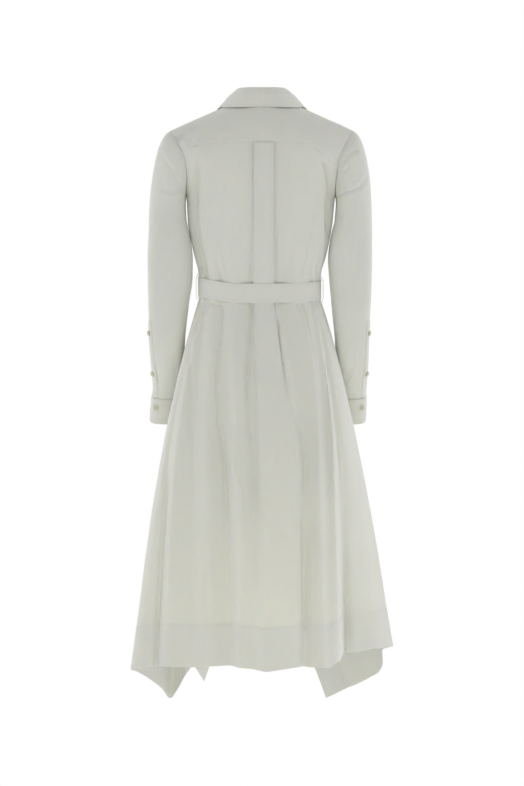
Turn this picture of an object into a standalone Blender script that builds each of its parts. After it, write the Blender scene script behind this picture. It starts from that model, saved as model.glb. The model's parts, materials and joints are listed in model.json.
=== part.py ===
"""A belted shirt dress, worn and empty: cloth walls with the neck, cuffs and hem open.

Sizes are in millimetres until a mesh is made, and metres in the scene, with +Z up. The
front faces -Y and the wearer's left is +X. The origin is between the shoulders, at the
height of the back of the neck. "drop" is a distance down from the origin, and "share" is
a place across the cloth, 1 at the left side seam and -1 at the right one.
"""

import math

import bmesh
import bpy
import numpy as np
from mathutils import Matrix, Vector

MM = 0.001

# Cloth and seams
CLOTH = 1.0  # thickness of a cloth wall
FIRM = 1.2  # thickness of the interlined walls: collar, cuffs, belt
SEAM_GAP = 0.4  # between the edges of two pieces sewn together
LAY_GAP = 0.5  # between the faces of two pieces that lie on each other
LAYER = CLOTH + LAY_GAP
MOST_MITRE = 1.3  # how much a wall's thickness may grow along a fold to keep its width beside it

# Heights, as drops from the origin
UNDERARM = 170.0
WAIST = 376.0  # bottom edge of the belt at the side seams
MIDDLE = 730.0  # where the front opening ends
MIDDLE_SHARE = 0.48  # share of the skirt's rows above it
HEM_BAND = 0.882  # and above the hem bands
BELT_DROP = 354.5
BELT_HEIGHT = 37.0
BELT_LEAN = 6.0  # how much higher the belt lies at the left side
BELT_GAP = 0.8
BELT_TILT = 12.0  # how much lower the belt lies at the centre back than at the sides
WAIST_DEPTH = 85.0

# Shoulders and neck
SHOULDER_TIP_X = 184.0
SHOULDER_TIP_DROP = 38.0
SHOULDER_SLOPE = 0.456
NECK_ROUND = 30.0
ARCH = 100.0  # radius of the turn of the cloth over the shoulder
NECK_HALF_WIDTH = 62.0
NECK_BACK_ARC = 78.0
NECK_FRONT_ARC = 164.0
FRONT_SEAM_ARC = 44.0  # the yoke's front seam lies this far before the shoulder line
YOKE_DROP = 73.0  # back yoke seam at the centre
YOKE_SEAM_SAG = 7.0  # and how much lower it is at the armholes
BOXINESS = 2.3  # 2 is an ellipse in plan

# Skirt
START_FLARE = 1.4  # how fast the cloth leaves the belt, against a straight line
TUCK_FADE = 80.0
LAP_SLOPE = -0.06  # of the lapped fronts at the middle of the skirt, in mm forward for 1 down


def table(names, *rows):
    """The columns of a table by name, as arrays."""
    return {name: np.array([row[i] for row in rows]) for i, name in enumerate(names.split())}


# Half widths to the left and right side seams, and depths behind and before them
BODY = table(
    "drop left right back front",
    (-60, 215, 212, 96, 84),
    (0, 215, 210, 98, 84),
    (40, 212, 206, 103, 84),
    (75, 196, 191, 106, 91),
    (106, 180, 175, 108, 106),
    (136, 164, 159, 107, 118),
    (170, 151, 146, 104, 124),
    (220, 148, 141, 98, 122),
    (262, 141, 134, 92, 113),
    (296, 133, 126, 86, 98),
    (322, 127, 118, 82, 88),
    (334, 126.5, 117, 82, 88),
    (400, 126.5, 117, 82, 88),
)

# How far out the armhole seams lie
ARMHOLE = table(
    "drop left right",
    (38, 184, 182),
    (56, 172, 171),
    (76, 161, 161),
    (106, 151, 151),
    (136, 148, 147),
    (160, 149.5, 145),
    (170, 151, 146),
)

# Long soft troughs in the bodice
BODICE_FOLDS = table(
    "name face start end x_start x_middle x_end depth half_width",
    ("back_left", 1, 80, 345, 124, 135, 114, 9, 8),
    ("back_right", 1, 70, 260, -108, -135, -128, 8, 8),
    ("front_left", -1, 150, 345, 104, 96, 84, 5, 9),
    ("front_right", -1, 150, 345, -100, -92, -80, 5, 9),
)

# The skirt's ridges and troughs, from the left side seam round to the next edge: where
# each starts at the waist, and where it is at MIDDLE and at the hem
BACK = table(
    "name share x_mid y_mid x_hem y_hem drop_hem tuck",
    ("side_seam_left", 1.0, 205, 0, 246, 60, 1112, 0),
    ("flute_left", 0.975, 206, 66, 253, 168, 1094, 0),
    ("flute_back", 0.955, 196, 108, 230, 194, 1088, 0),
    ("trough_outer", 0.94, 187, 112, 205, 190, 1085, 2),
    ("ridge_outer", 0.925, 168, 142, 182, 214, 1083, 0),
    ("trough_left", 0.905, 137, 139, 139, 211, 1085, 5),
    ("ridge_left", 0.78, 106, 162, 95, 222, 1082, 0),
    ("trough_inner", 0.64, 73, 147, 63, 214, 1081, 5),
    ("ridge_inner", 0.43, 46, 178, 42, 237, 1083, 0),
    ("trough_by_pleat", 0.20, 14, 165, 16, 241, 1085, 3),
    ("pleat_left", 0.124, 0, 180, -8, 249, 1089, 0),
    ("pleat_centre", -0.043, -34, 184, -40, 246, 1085, 0),
    ("pleat_right", -0.218, -67, 180, -70, 232, 1082, 0),
    ("trough_after_pleat", -0.29, -83, 158, -80, 212, 1083, 3),
    ("ridge_right", -0.55, -97, 165, -96, 222, 1084, 0),
    ("ridge_far", -0.76, -111, 172, -114, 226, 1084, 0),
    ("trough_far", -0.84, -129, 146, -128, 214, 1086, 4),
    ("lip", -0.89, -141, 150, -147, 192, 1076, 0),
    ("deep_trough", -0.925, -152, 104, -166, 22, 1077, 3),
    ("beyond_trough", -0.95, -166, 98, -184, 34, 1077, 0),
    ("side_panel", -0.975, -188, 58, -224, 14, 1072, 0),
    ("side_seam_right", -1.0, -204, 0, -266, -60, 1075, 0),
)
FRONT_LEFT = table(
    "name share x_mid y_mid x_hem y_hem drop_hem tuck",
    ("side_seam_left", 1.0, 205, 0, 246, 60, 1112, 0),
    ("side", 0.96, 196, -45, 228, -28, 1136, 0),
    ("turn", 0.90, 176, -86, 206, -100, 1165, 0),
    ("point", 0.80, 150, -118, 190, -152, 1193, 0),
    ("after_point", 0.68, 120, -126, 174, -138, 1172, 3),
    ("trough", 0.56, 92, -132, 156, -124, 1140, 0),
    ("ridge", 0.43, 60, -151, 143, -132, 1124, 0),
    ("facing_edge", 0.205, 26, -164, 137, -160, 1133, 0),
    ("strip", 0.03, 4, -164, 130, -181, 1148, 0),
    ("front_edge", -0.154, -18, -164, 123, -204, 1163, 0),
)
FRONT_RIGHT = table(
    "name share x_mid y_mid x_hem y_hem drop_hem tuck",
    ("side_seam_right", -1.0, -204, 0, -266, -60, 1075, 0),
    ("side", -0.96, -196, -45, -246, -100, 1088, 0),
    ("turn", -0.90, -178, -84, -249, -140, 1118, 0),
    ("ridge", -0.80, -152, -114, -243, -180, 1142, 0),
    ("trough", -0.68, -124, -124, -228, -196, 1154, 3),
    ("panel", -0.56, -98, -140, -211, -203, 1164, 0),
    ("panel_inner", -0.43, -68, -151, -196, -208, 1172, 0),
    ("facing_edge", -0.205, -24, -164, -176, -213, 1181, 0),
    ("strip", -0.02, -2, -164, -155, -217, 1192, 0),
    ("front_edge", 0.158, 20, -164, -134, -220, 1202, 0),
)

# Columns of the back's cloth: "row" counts along the table BACK. Those of the pleat have
# one place while it is closed, where they lie over each other, and one when it is let go.
PLAIN_LEFT = (0, 1, 2, 3, 4, 5, 5.5, 6, 6.5, 7, 7.5, 8, 8.5, 9)
PLEAT = table(
    "closed narrow ramp open layer ramp_layer",
    (9.80, 9.70, 9.66, 9.50, 0, 0.0),
    (10.02, 9.82, 9.78, 9.62, 0, 0.0),
    (10.30, 9.94, 9.88, 9.74, 0, 0.0),
    (10.56, 10.02, 9.93, 9.82, 0, 0.0),
    (10.56, 10.02, 9.945, 9.86, 1, 0.5),
    (10.30, 9.99, 9.955, 9.89, 1, 1.0),
    (9.97, 9.965, 9.965, 9.93, 1, 1.5),
    (9.97, 9.965, 9.975, 9.97, 2, 2.0),
    (10.50, 10.50, 10.50, 10.50, 2, 2.0),
    (11.00, 11.00, 11.00, 11.00, 2, 2.0),
    (11.50, 11.50, 11.50, 11.50, 2, 2.0),
    (12.03, 12.035, 12.025, 12.03, 2, 2.0),
    (12.03, 12.035, 12.035, 12.07, 1, 1.5),
    (11.70, 12.01, 12.045, 12.11, 1, 1.0),
    (11.44, 11.98, 12.055, 12.14, 1, 0.5),
    (11.44, 11.98, 12.07, 12.18, 0, 0.0),
    (11.70, 12.06, 12.12, 12.26, 0, 0.0),
    (11.98, 12.18, 12.22, 12.38, 0, 0.0),
    (12.20, 12.30, 12.34, 12.60, 0, 0.0),
)
PLEAT_STAGES = table(
    "stage drop_left drop_right",
    (0, 390, 385),
    (1, 568, 509),
    (2, 641, 568),
    (3, 1050, 1000),
)
PLAIN_RIGHT = (13, 13.5, 14, 14.5, 15, 16, 17, 18, 19, 20, 21)
FRONT_COLUMNS = (0, 1, 2, 3, 3.5, 4, 4.5, 5, 5.5, 6, 6.2, 6.5, 6.75, 7, 7.5, 8, 8.5, 9)
STRIP_START = 6  # the front's columns after this one are lapped
FACING_COLUMNS = (7, 7.5, 8, 8.5, 9)

# Rows of a panel: 0 to 1 beside the armhole, 1 to 2 to the waist, 2 to 3 down the skirt
BODICE_ROWS = (0, 0.14, 0.32, 0.5, 0.68, 0.84, 0.94, 0.985, 1, 1.24, 1.46, 1.64, 1.77)
SKIRT_ROWS = (2, 2.05, 2.11, 2.18, 2.26, 2.36, 2 + MIDDLE_SHARE, 2.57, 2.66, 2.74, 2.81, 2 + HEM_BAND)
BAND_ROWS = (2 + HEM_BAND, 2.94, 3)

# Sleeves: rings from below the underarm to the cuff's end
SLEEVE_LEFT = table(
    "drop outer inner y_centre y_half tilt",
    (216, 225, 153.5, 2, 56, 0),
    (256, 227, 145, 0, 56, 0),
    (296, 228, 138.5, -2, 54, 0),
    (336, 228, 139.5, -6, 51, 0),
    (376, 228, 146, -12, 49, 0.02),
    (416, 227, 151, -22, 47, 0.05),
    (456, 226, 155, -36, 45, 0.10),
    (496, 224, 157, -54, 43, 0.16),
    (536, 222, 158, -76, 42, 0.2),
    (566, 224, 163, -94, 41, 0.22),
    (616, 229, 168, -112, 42, 0.22),
)
SLEEVE_RIGHT = table(
    "drop outer inner y_centre y_half tilt",
    (216, 219, 148.5, 2, 56, 0),
    (256, 220, 139, 0, 56, 0),
    (296, 220, 132.5, -2, 54, 0),
    (336, 219, 135, -6, 51, 0),
    (376, 218, 139, -12, 49, 0.02),
    (416, 216, 143, -22, 47, 0.05),
    (456, 214, 147, -36, 45, 0.10),
    (496, 214, 149, -54, 43, 0.16),
    (536, 213, 152, -78, 42, 0.2),
    (566, 212, 155, -96, 41, 0.22),
    (616, 211, 158, -114, 42, 0.22),
)
SLEEVE_HEAD_ROWS = (0, 0.12, 0.26, 0.42, 0.58, 0.74, 0.88)
SLEEVE_DROPS = (216, 256, 296, 336, 376, 416, 456, 496, 536, 571)
SLEEVE_BOXINESS = 2.2
SLEEVE_TOP_START = 110.0  # how far the cloth keeps the shoulder's direction at the top
SLEEVE_UNDER_START = 30.0
SLEEVE_HEAD_END = 120.0
UNDERARM_GAP = 1.7  # between the sleeve and the body where they lie beside each other
CUFF = (566.0, 616.0)
CUFF_EASE = 1.9  # the cuff stands this far outside the sleeve's end, which runs up into it
CUFF_OPENING = 61.0  # degrees from the outside of the wrist towards the back
CUFF_LAP = 24.0  # degrees by which the cuff's ends lie over each other
CUFF_COLUMNS = 33
# The strip beside the sleeve's opening, its centre in degrees from the outside of the arm
PLACKET = table(
    "drop centre",
    (416, 25),
    (456, 27),
    (496, 31),
    (536, 37),
    (563.5, 40),
)
PLACKET_HALF_ANGLE = 0.28
PLACKET_BUTTON_DROPS = (440.0, 518.0)

# Collar: its fold and its lower edge, by the angle round the neck from the centre back
COLLAR = table(
    "angle fold_x fold_y fold_z edge_x edge_y edge_z",
    (0, 0, 63, 38, 0, 73.2, 1.5),
    (28, 25.5, 55, 39, 36, 68.2, 1.5),
    (58, 43, 30, 40.5, 69, 40.6, 4),
    (90, 51, 0, 39, 84, 1, 9),
    (105, 53.5, -28, 29, 91, -24, 6),
    (118, 49, -48, 11, 91, -46, -9),
    (130, 40, -60, -6, 87, -68, -30),
    (145, 29, -70, -22, 78, -88, -56),
    (160, 17, -77, -35, 66, -101, -82),
    (180, 0, -82, -46, 48, -114, -108),
)
COLLAR_END = 177.0  # degrees from the centre back to each end of the collar
COLLAR_COLUMNS = 27
STAND_COLUMNS = 41
STAND_SHARE = 0.80  # of the way from the neckline to the collar's fold
STAND_START = 2.2  # mm from the neckline to the stand's lower edge
STAND_LAP = 12.0  # degrees past the centre front at each end
COLLAR_ROLL = 3.2

# Buttons
BUTTON_RADIUS = 5.6
BUTTON_THICKNESS = 2.2
BUTTON_SIDES = 10
BUTTON_GAP = 0.4  # between a button's back and the cloth
FRONT_BUTTONS = 8
FRONT_BUTTON_DROPS = (122.0, 752.0)
CUFF_BUTTON_DROP = 583.0

# Belt buckle and loops
BUCKLE_WIDTH = 46.0
BUCKLE_BAR = 4.0
BUCKLE_STAND = 7.7  # from the cloth to the middle of the frame, over the belt's two ends
LOOP_WIDTH = 8.0
LOOP_REACH = 8.0  # how far a loop runs past each edge of the belt


# ---------------------------------------------------------------- curves


def curve(knots, values, at):
    """A smooth curve through the values that doesn't overshoot them between the knots."""
    knots = np.asarray(knots, float)
    values = np.asarray(values, float)
    at = np.clip(at, knots[0], knots[-1])
    steps = np.diff(knots)
    slopes = np.diff(values) / steps
    agree = slopes[:-1] * slopes[1:] > 0
    total = np.where(agree, slopes[:-1] + slopes[1:], 1)
    inner = np.where(agree, 2 * slopes[:-1] * slopes[1:] / total, 0)
    tangents = np.concatenate([slopes[:1], inner, slopes[-1:]])
    i = np.clip(np.searchsorted(knots, at, side="right") - 1, 0, len(knots) - 2)
    t = (at - knots[i]) / steps[i]
    return hermite(t, values[i], values[i + 1], steps[i] * tangents[i], steps[i] * tangents[i + 1])


def hermite(t, start, end, leave, arrive):
    """A cubic from start to end with the given directions at its ends."""
    early = (1 + 2 * t) * (1 - t) ** 2 * start + t * (1 - t) ** 2 * leave
    return early + t * t * (3 - 2 * t) * end + t * t * (t - 1) * arrive


def ramp(low, high, at):
    """0 below low, 1 above high and smooth between them."""
    t = np.clip((at - low) / (high - low), 0, 1)
    return t * t * (3 - 2 * t)


def mix(low, high, t):
    return low + (high - low) * t


def unit(vectors):
    return vectors / np.maximum(np.linalg.norm(vectors, axis=-1, keepdims=True), 1e-9)


def by_side(data, drop, left):
    """A half width at a drop, of the left side where left is true."""
    return np.where(left, curve(data["drop"], data["left"], drop), curve(data["drop"], data["right"], drop))


# ---------------------------------------------------------------- bodice


def crest(x):
    """Height of the shoulder line."""
    return SHOULDER_SLOPE * (SHOULDER_TIP_X - np.hypot(x, NECK_ROUND)) - SHOULDER_TIP_DROP


def body_depth(x, drop, back):
    """How far the body's surface is behind or before the side seams."""
    half = by_side(BODY, drop, x >= 0)
    depth = np.where(back, curve(BODY["drop"], BODY["back"], drop), curve(BODY["drop"], BODY["front"], drop))
    return depth * np.clip(1 - (np.abs(x) / half) ** BOXINESS, 0, 1) ** (1 / BOXINESS)


def shell(x, arc):
    """A point of the upper body: arc is measured from the shoulder line, positive behind it."""
    reach = np.abs(arc)
    turn = np.minimum(reach / ARCH, math.pi / 2)
    z = crest(x) - ARCH * (1 - np.cos(turn)) - np.maximum(reach - ARCH * math.pi / 2, 0)
    y = np.sign(arc) * body_depth(x, -z, arc > 0) * np.sin(turn)
    return np.stack([x, y, z], axis=-1)


def arc_to(x, drop):
    """The arc from the shoulder line down to a drop."""
    fall = crest(x) + drop
    over = ARCH * np.arccos(np.clip(1 - fall / ARCH, -1, 1))
    return np.where(fall < ARCH, over, ARCH * math.pi / 2 + fall - ARCH)


def across(share, edge):
    """Place across the cloth: the middle keeps its width and the sides follow the edge."""
    waist = np.where(share >= 0, BODY["left"][-1], BODY["right"][-1])
    return share * waist + share**3 * (edge - waist)


def yoke_seam_arc(x):
    return arc_to(x, YOKE_DROP + YOKE_SEAM_SAG * (x / SHOULDER_TIP_X) ** 2)


def neckline_arc(x):
    """Arc of the front neckline, and of the yoke's front seam outside it."""
    inside = np.clip(1 - (x / NECK_HALF_WIDTH) ** 2, 0, 1)
    return np.maximum(FRONT_SEAM_ARC, NECK_FRONT_ARC * np.sqrt(inside))


def beside_armhole(share, fall, face):
    """A point between the panel's top, at fall 0, and the underarm's level, at fall 1."""
    top_arc = yoke_seam_arc if face > 0 else neckline_arc
    drop = np.full(np.shape(share), 110.0)
    for _ in range(40):
        x = across(share, by_side(ARMHOLE, drop, share >= 0))
        top = top_arc(x)
        arc = top + (arc_to(x, UNDERARM) - top) * fall
        drop = (drop - shell(x, face * arc)[..., 2]) / 2
    return shell(x, face * arc)


def waist_point(share, fall, face):
    """A point between the underarm's level and the waist."""
    left = share >= 0
    at_waist = across(share, by_side(BODY, WAIST, left))
    tilt = BELT_TILT * face * body_depth(at_waist, WAIST, face > 0) / WAIST_DEPTH
    drop = mix(UNDERARM, WAIST + tilt, fall)
    x = across(share, by_side(BODY, drop, left))
    return np.stack([x, face * body_depth(x, drop, face > 0), -drop], axis=-1)


# ---------------------------------------------------------------- skirt


def skirt_line(start, middle, end, start_drop, end_drop, drop, lapped=0.0):
    """One coordinate down the skirt, through the waist, the middle and the hem."""
    upper = (middle - start) / (MIDDLE - start_drop)
    lower = (end - middle) / (end_drop - MIDDLE)
    same_way = upper * lower > 0
    at_middle = np.where(same_way, 2 * upper * lower / np.where(same_way, upper + lower, 1), 0)
    at_middle = mix(at_middle, LAP_SLOPE, lapped)
    high_t = np.clip((drop - start_drop) / (MIDDLE - start_drop), 0, 1)
    low_t = np.clip((drop - MIDDLE) / (end_drop - MIDDLE), 0, 1)
    length = MIDDLE - start_drop
    above = hermite(high_t, start, middle, START_FLARE * upper * length, at_middle * length)
    length = end_drop - MIDDLE
    below = hermite(low_t, middle, end, at_middle * length, lower * length)
    return np.where(drop < MIDDLE, above, below)


def skirt_point(folds, row, fall, face):
    """A point of the skirt: row counts along the table of folds, fall is 1 at the hem."""
    rows = np.arange(len(folds["share"]))
    value = {name: curve(rows, folds[name], row) for name in ("share", "x_mid", "y_mid", "x_hem", "y_hem", "drop_hem")}
    waist = waist_point(value["share"], np.ones(np.shape(row)), face)
    start_drop = -waist[..., 2]
    to_middle = mix(start_drop, MIDDLE, fall / MIDDLE_SHARE)
    to_hem = mix(MIDDLE, value["drop_hem"], (fall - MIDDLE_SHARE) / (1 - MIDDLE_SHARE))
    drop = np.where(fall < MIDDLE_SHARE, to_middle, to_hem)
    lapped = ramp(STRIP_START, STRIP_START + 1, row) if face < 0 else 0.0
    x = skirt_line(waist[..., 0], value["x_mid"], value["x_hem"], start_drop, value["drop_hem"], drop)
    y = skirt_line(waist[..., 1], value["y_mid"], value["y_hem"], start_drop, value["drop_hem"], drop, lapped)
    return np.stack([x, y, -drop], axis=-1)


# ---------------------------------------------------------------- panels


def panel_point(folds, face, row, level):
    """A point of a whole panel before its soft folds: level is 0 to 3 down the panel."""
    share = curve(np.arange(len(folds["share"])), folds["share"], row)
    high = beside_armhole(share, np.minimum(level, 1), face)
    low = waist_point(share, np.clip(level - 1, 0, 1), face)
    skirt = skirt_point(folds, row, np.clip(level - 2, 0, 1), face)
    level = level[..., None]
    return np.where(level < 1, high, np.where(level < 2, low, skirt))


def panel_normal(folds, face, row, level):
    """Unit normals of a panel, pointing out of the dress."""
    small = 0.02
    most = len(folds["share"]) - 1
    east = panel_point(folds, face, np.minimum(row + small, most), level)
    west = panel_point(folds, face, np.maximum(row - small, 0), level)
    south = panel_point(folds, face, row, np.minimum(level + small, 3))
    north = panel_point(folds, face, row, np.maximum(level - small, 0))
    normal = unit(np.cross(east - west, south - north))
    leftward = folds["share"][0] > 0
    outward = -1 if (face > 0) == leftward else 1
    return normal * outward


def soft_folds(folds, face, row, points):
    """How far the troughs of the bodice and the tucks at the belt push the cloth in."""
    x = points[..., 0]
    drop = -points[..., 2]
    depth = curve(np.arange(len(folds["tuck"])), folds["tuck"], row) * np.exp(-(((drop - WAIST) / TUCK_FADE) ** 2))
    for i, fold_face in enumerate(BODICE_FOLDS["face"]):
        if fold_face != face:
            continue
        fold = {name: values[i] for name, values in BODICE_FOLDS.items()}
        knots = (fold["start"], (fold["start"] + fold["end"]) / 2, fold["end"])
        centre = curve(knots, (fold["x_start"], fold["x_middle"], fold["x_end"]), drop)
        fade = ramp(0, 60, drop - fold["start"]) * ramp(0, 40, fold["end"] - drop)
        fade = fade * ramp(0, 1, np.minimum(row, len(folds["share"]) - 1 - row)) if face > 0 else fade
        depth = depth + fold["depth"] * fade * np.exp(-(((x - centre) / fold["half_width"]) ** 2))
    return depth


def panel_grid(folds, face, rows, levels, lift=0.0):
    """Mid points of a panel's cloth, one row for each level, moved out by lift."""
    row, level = np.broadcast_arrays(rows, np.asarray(levels, float)[:, None])
    points = panel_point(folds, face, row, level)
    moved = lift - soft_folds(folds, face, row, points)
    return points + panel_normal(folds, face, row, level) * moved[..., None]


def pleat_state(drop):
    """Rows and lifts of the pleat's columns at a drop, between its four stages."""
    half = len(PLEAT["closed"]) // 2
    sides = [np.interp(drop, PLEAT_STAGES[name], PLEAT_STAGES["stage"]) for name in ("drop_left", "drop_right")]
    stages = np.array([sides[0]] * (half + 1) + [sides[1]] * half)
    rows = np.array([PLEAT[name] for name in ("closed", "narrow", "ramp", "open")])
    layers = np.array([PLEAT["layer"], PLEAT["layer"], PLEAT["ramp_layer"], PLEAT["layer"] * 0])
    before = np.minimum(stages.astype(int), 2)
    t = stages - before
    columns = np.arange(len(stages))
    row = mix(rows[before, columns], rows[before + 1, columns], t)
    return row, mix(layers[before, columns], layers[before + 1, columns], t) * LAYER


def back_grid(levels):
    """The back with its pleat: closed under the belt and above it, let go in the skirt."""
    levels = np.asarray(levels, float)
    drops = -panel_point(BACK, 1, np.full(levels.shape, 11.0), levels)[:, 2]
    pleat = [pleat_state(drop) for drop in drops]
    rows = np.array([[*PLAIN_LEFT, *row, *PLAIN_RIGHT] for row, _ in pleat])
    lift = np.array([[0] * len(PLAIN_LEFT) + [*lifts] + [0] * len(PLAIN_RIGHT) for _, lifts in pleat])
    return panel_grid(BACK, 1, rows, levels, lift)


def front_lift(side):
    """The right front lies over the left one where they lap."""
    lapped = np.clip(np.array(FRONT_COLUMNS, float) - STRIP_START, 0, 1)
    return lapped * LAYER * (-1 if side == "left" else 1)


# ---------------------------------------------------------------- yoke and armholes


def armhole_point(arc, left):
    """A point of the armhole seam by its arc from the shoulder line."""
    drop = np.full(np.shape(arc), 60.0)
    for _ in range(24):
        x = by_side(ARMHOLE, drop, left) * np.where(left, 1, -1)
        drop = (drop - shell(x, arc)[..., 2]) / 2
    return x


def neck_place(angle):
    """(x, arc) of the neckline at an angle from the centre back."""
    x = NECK_HALF_WIDTH * np.sin(angle)
    reach = np.where(np.cos(angle) > 0, NECK_BACK_ARC, NECK_FRONT_ARC)
    return x, reach * np.cos(angle)


def yoke_grid():
    """Rings from the neckline out to the armholes and the back seam."""
    share = curve(np.arange(len(BACK["share"])), BACK["share"], np.array(PLAIN_LEFT + (10, 11, 12) + PLAIN_RIGHT))
    seam = beside_armhole(share, np.zeros(len(share)), 1)
    arm_arcs = (-FRONT_SEAM_ARC, -22.0, 0.0, 24.0, 48.0)
    sides = {}
    for left in (True, False):
        arcs = np.array(arm_arcs)
        sides[left] = (armhole_point(arcs, left), arcs)
    x = np.concatenate([sides[True][0], seam[:, 0], sides[False][0][::-1]])
    arc = np.concatenate([sides[True][1], yoke_seam_arc(seam[:, 0]), sides[False][1][::-1]])
    front = math.acos(-FRONT_SEAM_ARC / NECK_FRONT_ARC)
    travel = np.concatenate([[0], np.cumsum(np.hypot(np.diff(x), np.diff(arc)))])
    angle = front - 2 * front * travel / travel[-1]
    neck_x, neck_arc = neck_place(angle)
    out = np.array((0, 0.3, 0.65, 1.0, 1.06))[:, None]
    rings = shell(mix(neck_x, x, out), mix(neck_arc, arc, out))
    return rings[:-1], rings[-1], len(arm_arcs)


# ---------------------------------------------------------------- sleeves


def armhole_loop(left, yoke, arm_count, back, front):
    """The armhole's points from its top, round behind the arm and up before it."""
    outer = yoke[-1]
    arm = outer[: arm_count + 1] if left else outer[::-1][: arm_count + 1]
    behind = back[:, 0] if left else back[:, -1]
    top = 2
    return np.concatenate([arm[top:], behind[1:], front[::-1][1:], arm[1:top]])


def ring_angles(loop, underarm):
    """Angles round the arm for the loop's points: 0 at the top, 180 degrees at the underarm."""
    steps = np.linalg.norm(np.diff(np.concatenate([loop, loop[:1]]), axis=0), axis=1)
    travel = np.concatenate([[0], np.cumsum(steps)])
    behind = travel[underarm]
    rest = travel[-1] - behind
    place = travel[:-1]
    return np.where(place <= behind, math.pi * place / behind, math.pi + math.pi * (place - behind) / rest)


def sleeve_ring(data, left, angle, drop, grow=0.0):
    """Points round the arm: angle 0 is outside, and it grows towards the back."""
    value = {name: curve(data["drop"], data[name], drop) for name in data}
    centre = (value["outer"] + value["inner"]) / 2
    half = (value["outer"] - value["inner"]) / 2
    cos, sin = np.cos(angle), np.sin(angle)
    power = 2 / SLEEVE_BOXINESS
    x = centre + (half + grow) * np.sign(cos) * np.abs(cos) ** power
    y = (value["y_half"] + grow) * np.sign(sin) * np.abs(sin) ** power
    z = -drop - value["tilt"] * y
    return np.stack([np.where(left, x, -x), y + value["y_centre"], z + 0 * x], axis=-1)


def sleeve_grid(data, left, loop, underarm):
    angle = ring_angles(loop, underarm)
    side = 1 if left else -1
    top = ((1 + np.cos(angle)) / 2)[:, None]
    lean = np.array((side * 0.91, 0, -0.41)) * top + np.array((side * 0.35, 0, -0.94)) * (1 - top)
    behind = np.sin(angle)[:, None] * np.array((0, 0.35, 0))
    away = unit(lean + behind)
    start = loop + away * SEAM_GAP + UNDERARM_GAP * (1 - top) ** 2 * np.array((side, 0, -0.3))
    first = sleeve_ring(data, left, angle, data["drop"][0])
    leave = away * mix(SLEEVE_UNDER_START, SLEEVE_TOP_START, top)
    chord = np.linalg.norm(first - start, axis=1, keepdims=True)
    arrive = np.array((0, 0, -1.0)) * np.minimum(SLEEVE_HEAD_END, chord)
    head = [hermite(t, start, first, leave, arrive) for t in SLEEVE_HEAD_ROWS]
    rings = [sleeve_ring(data, left, angle, drop) for drop in SLEEVE_DROPS]
    return np.array(head + rings)


def sleeve_normal(data, left, angle, drop):
    """Unit normals pointing out of the sleeve."""
    east = sleeve_ring(data, left, angle + 0.05, drop) - sleeve_ring(data, left, angle - 0.05, drop)
    south = sleeve_ring(data, left, angle, drop + 3) - sleeve_ring(data, left, angle, drop - 3)
    return unit(np.cross(south, east)) * (1 if left else -1)


def cuff_grid(data, left):
    """The cuff runs once round and laps over its own start."""
    turn = np.linspace(0, 2 * math.pi + math.radians(CUFF_LAP), CUFF_COLUMNS)
    angle = math.radians(CUFF_OPENING) - turn
    grow = CUFF_EASE + (FIRM + LAY_GAP) * ramp(math.pi * 1.1, math.pi * 1.9, turn)
    drops = (CUFF[0], (CUFF[0] + CUFF[1]) / 2, CUFF[1])
    return np.array([sleeve_ring(data, left, angle, drop, grow) for drop in drops])


def placket_grid(data, left):
    """A strip that lies on the sleeve from its points, moved out."""
    rings = []
    for drop, centre in zip(PLACKET["drop"], PLACKET["centre"]):
        angle = np.radians(centre) + PLACKET_HALF_ANGLE * np.array((-1, -0.5, 0, 0.5, 1))
        normal = sleeve_normal(data, left, angle, drop)
        rings.append(sleeve_ring(data, left, angle, drop) + normal * (LAYER + 0.3))
    return np.array(rings)


# ---------------------------------------------------------------- collar


def neckline(angle):
    x, arc = neck_place(np.abs(angle))
    return shell(np.sign(angle) * x, arc)


def collar_loop(part, angle):
    degrees = np.abs(np.degrees(angle))
    across_neck = np.sign(angle) * curve(COLLAR["angle"], COLLAR[part + "_x"], degrees)
    others = [curve(COLLAR["angle"], COLLAR[part + axis], degrees) for axis in ("_y", "_z")]
    return np.stack([across_neck, *others], axis=-1)


def outward(loop):
    """Level directions pointing out of a loop round the neck."""
    along = np.gradient(loop, axis=0)
    return unit(np.stack([-along[:, 1], along[:, 0], 0 * along[:, 0]], axis=-1))


def stand_grid():
    """The collar's stand, from the neckline up, with its ends lapped at the centre front."""
    most = math.radians(180 + STAND_LAP)
    angle = np.linspace(-most, most, STAND_COLUMNS)
    past = np.abs(angle) > math.pi
    place = np.where(past, np.sign(angle) * (np.abs(angle) - 2 * math.pi), angle)
    base = neckline(place)
    rise = collar_loop("fold", place) - base
    lap = (FIRM + LAY_GAP) / 2 * ramp(math.radians(140), math.radians(168), np.abs(angle))
    shift = outward(base) * (-np.sign(angle) * lap)[:, None]
    low = base + unit(rise) * STAND_START + shift
    high = base + rise * STAND_SHARE + shift
    return np.array([low, (low + high) / 2, high])


def collar_grid():
    """The collar, from the top of its stand over the fold and down to its edge."""
    most = math.radians(COLLAR_END)
    angle = np.linspace(-most, most, COLLAR_COLUMNS)
    fold = collar_loop("fold", angle)
    edge = collar_loop("edge", angle)
    base = neckline(angle)
    out = outward(fold)
    up = unit(np.cross(out, np.gradient(fold, axis=0)))
    start = base + (fold - base) * (STAND_SHARE + 0.07)
    fall_top = fold + out * COLLAR_ROLL - up * 2.5
    rows = [start, fold + out * 0.4, fold + out * (COLLAR_ROLL - 0.9) + up * 0.2, fall_top]
    for t, bulge in ((0.33, 3.0), (0.67, 2.0), (1.0, 0.0)):
        rows.append(mix(fall_top, edge, t) + out * bulge)
    return np.array(rows)


# ---------------------------------------------------------------- belt


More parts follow.
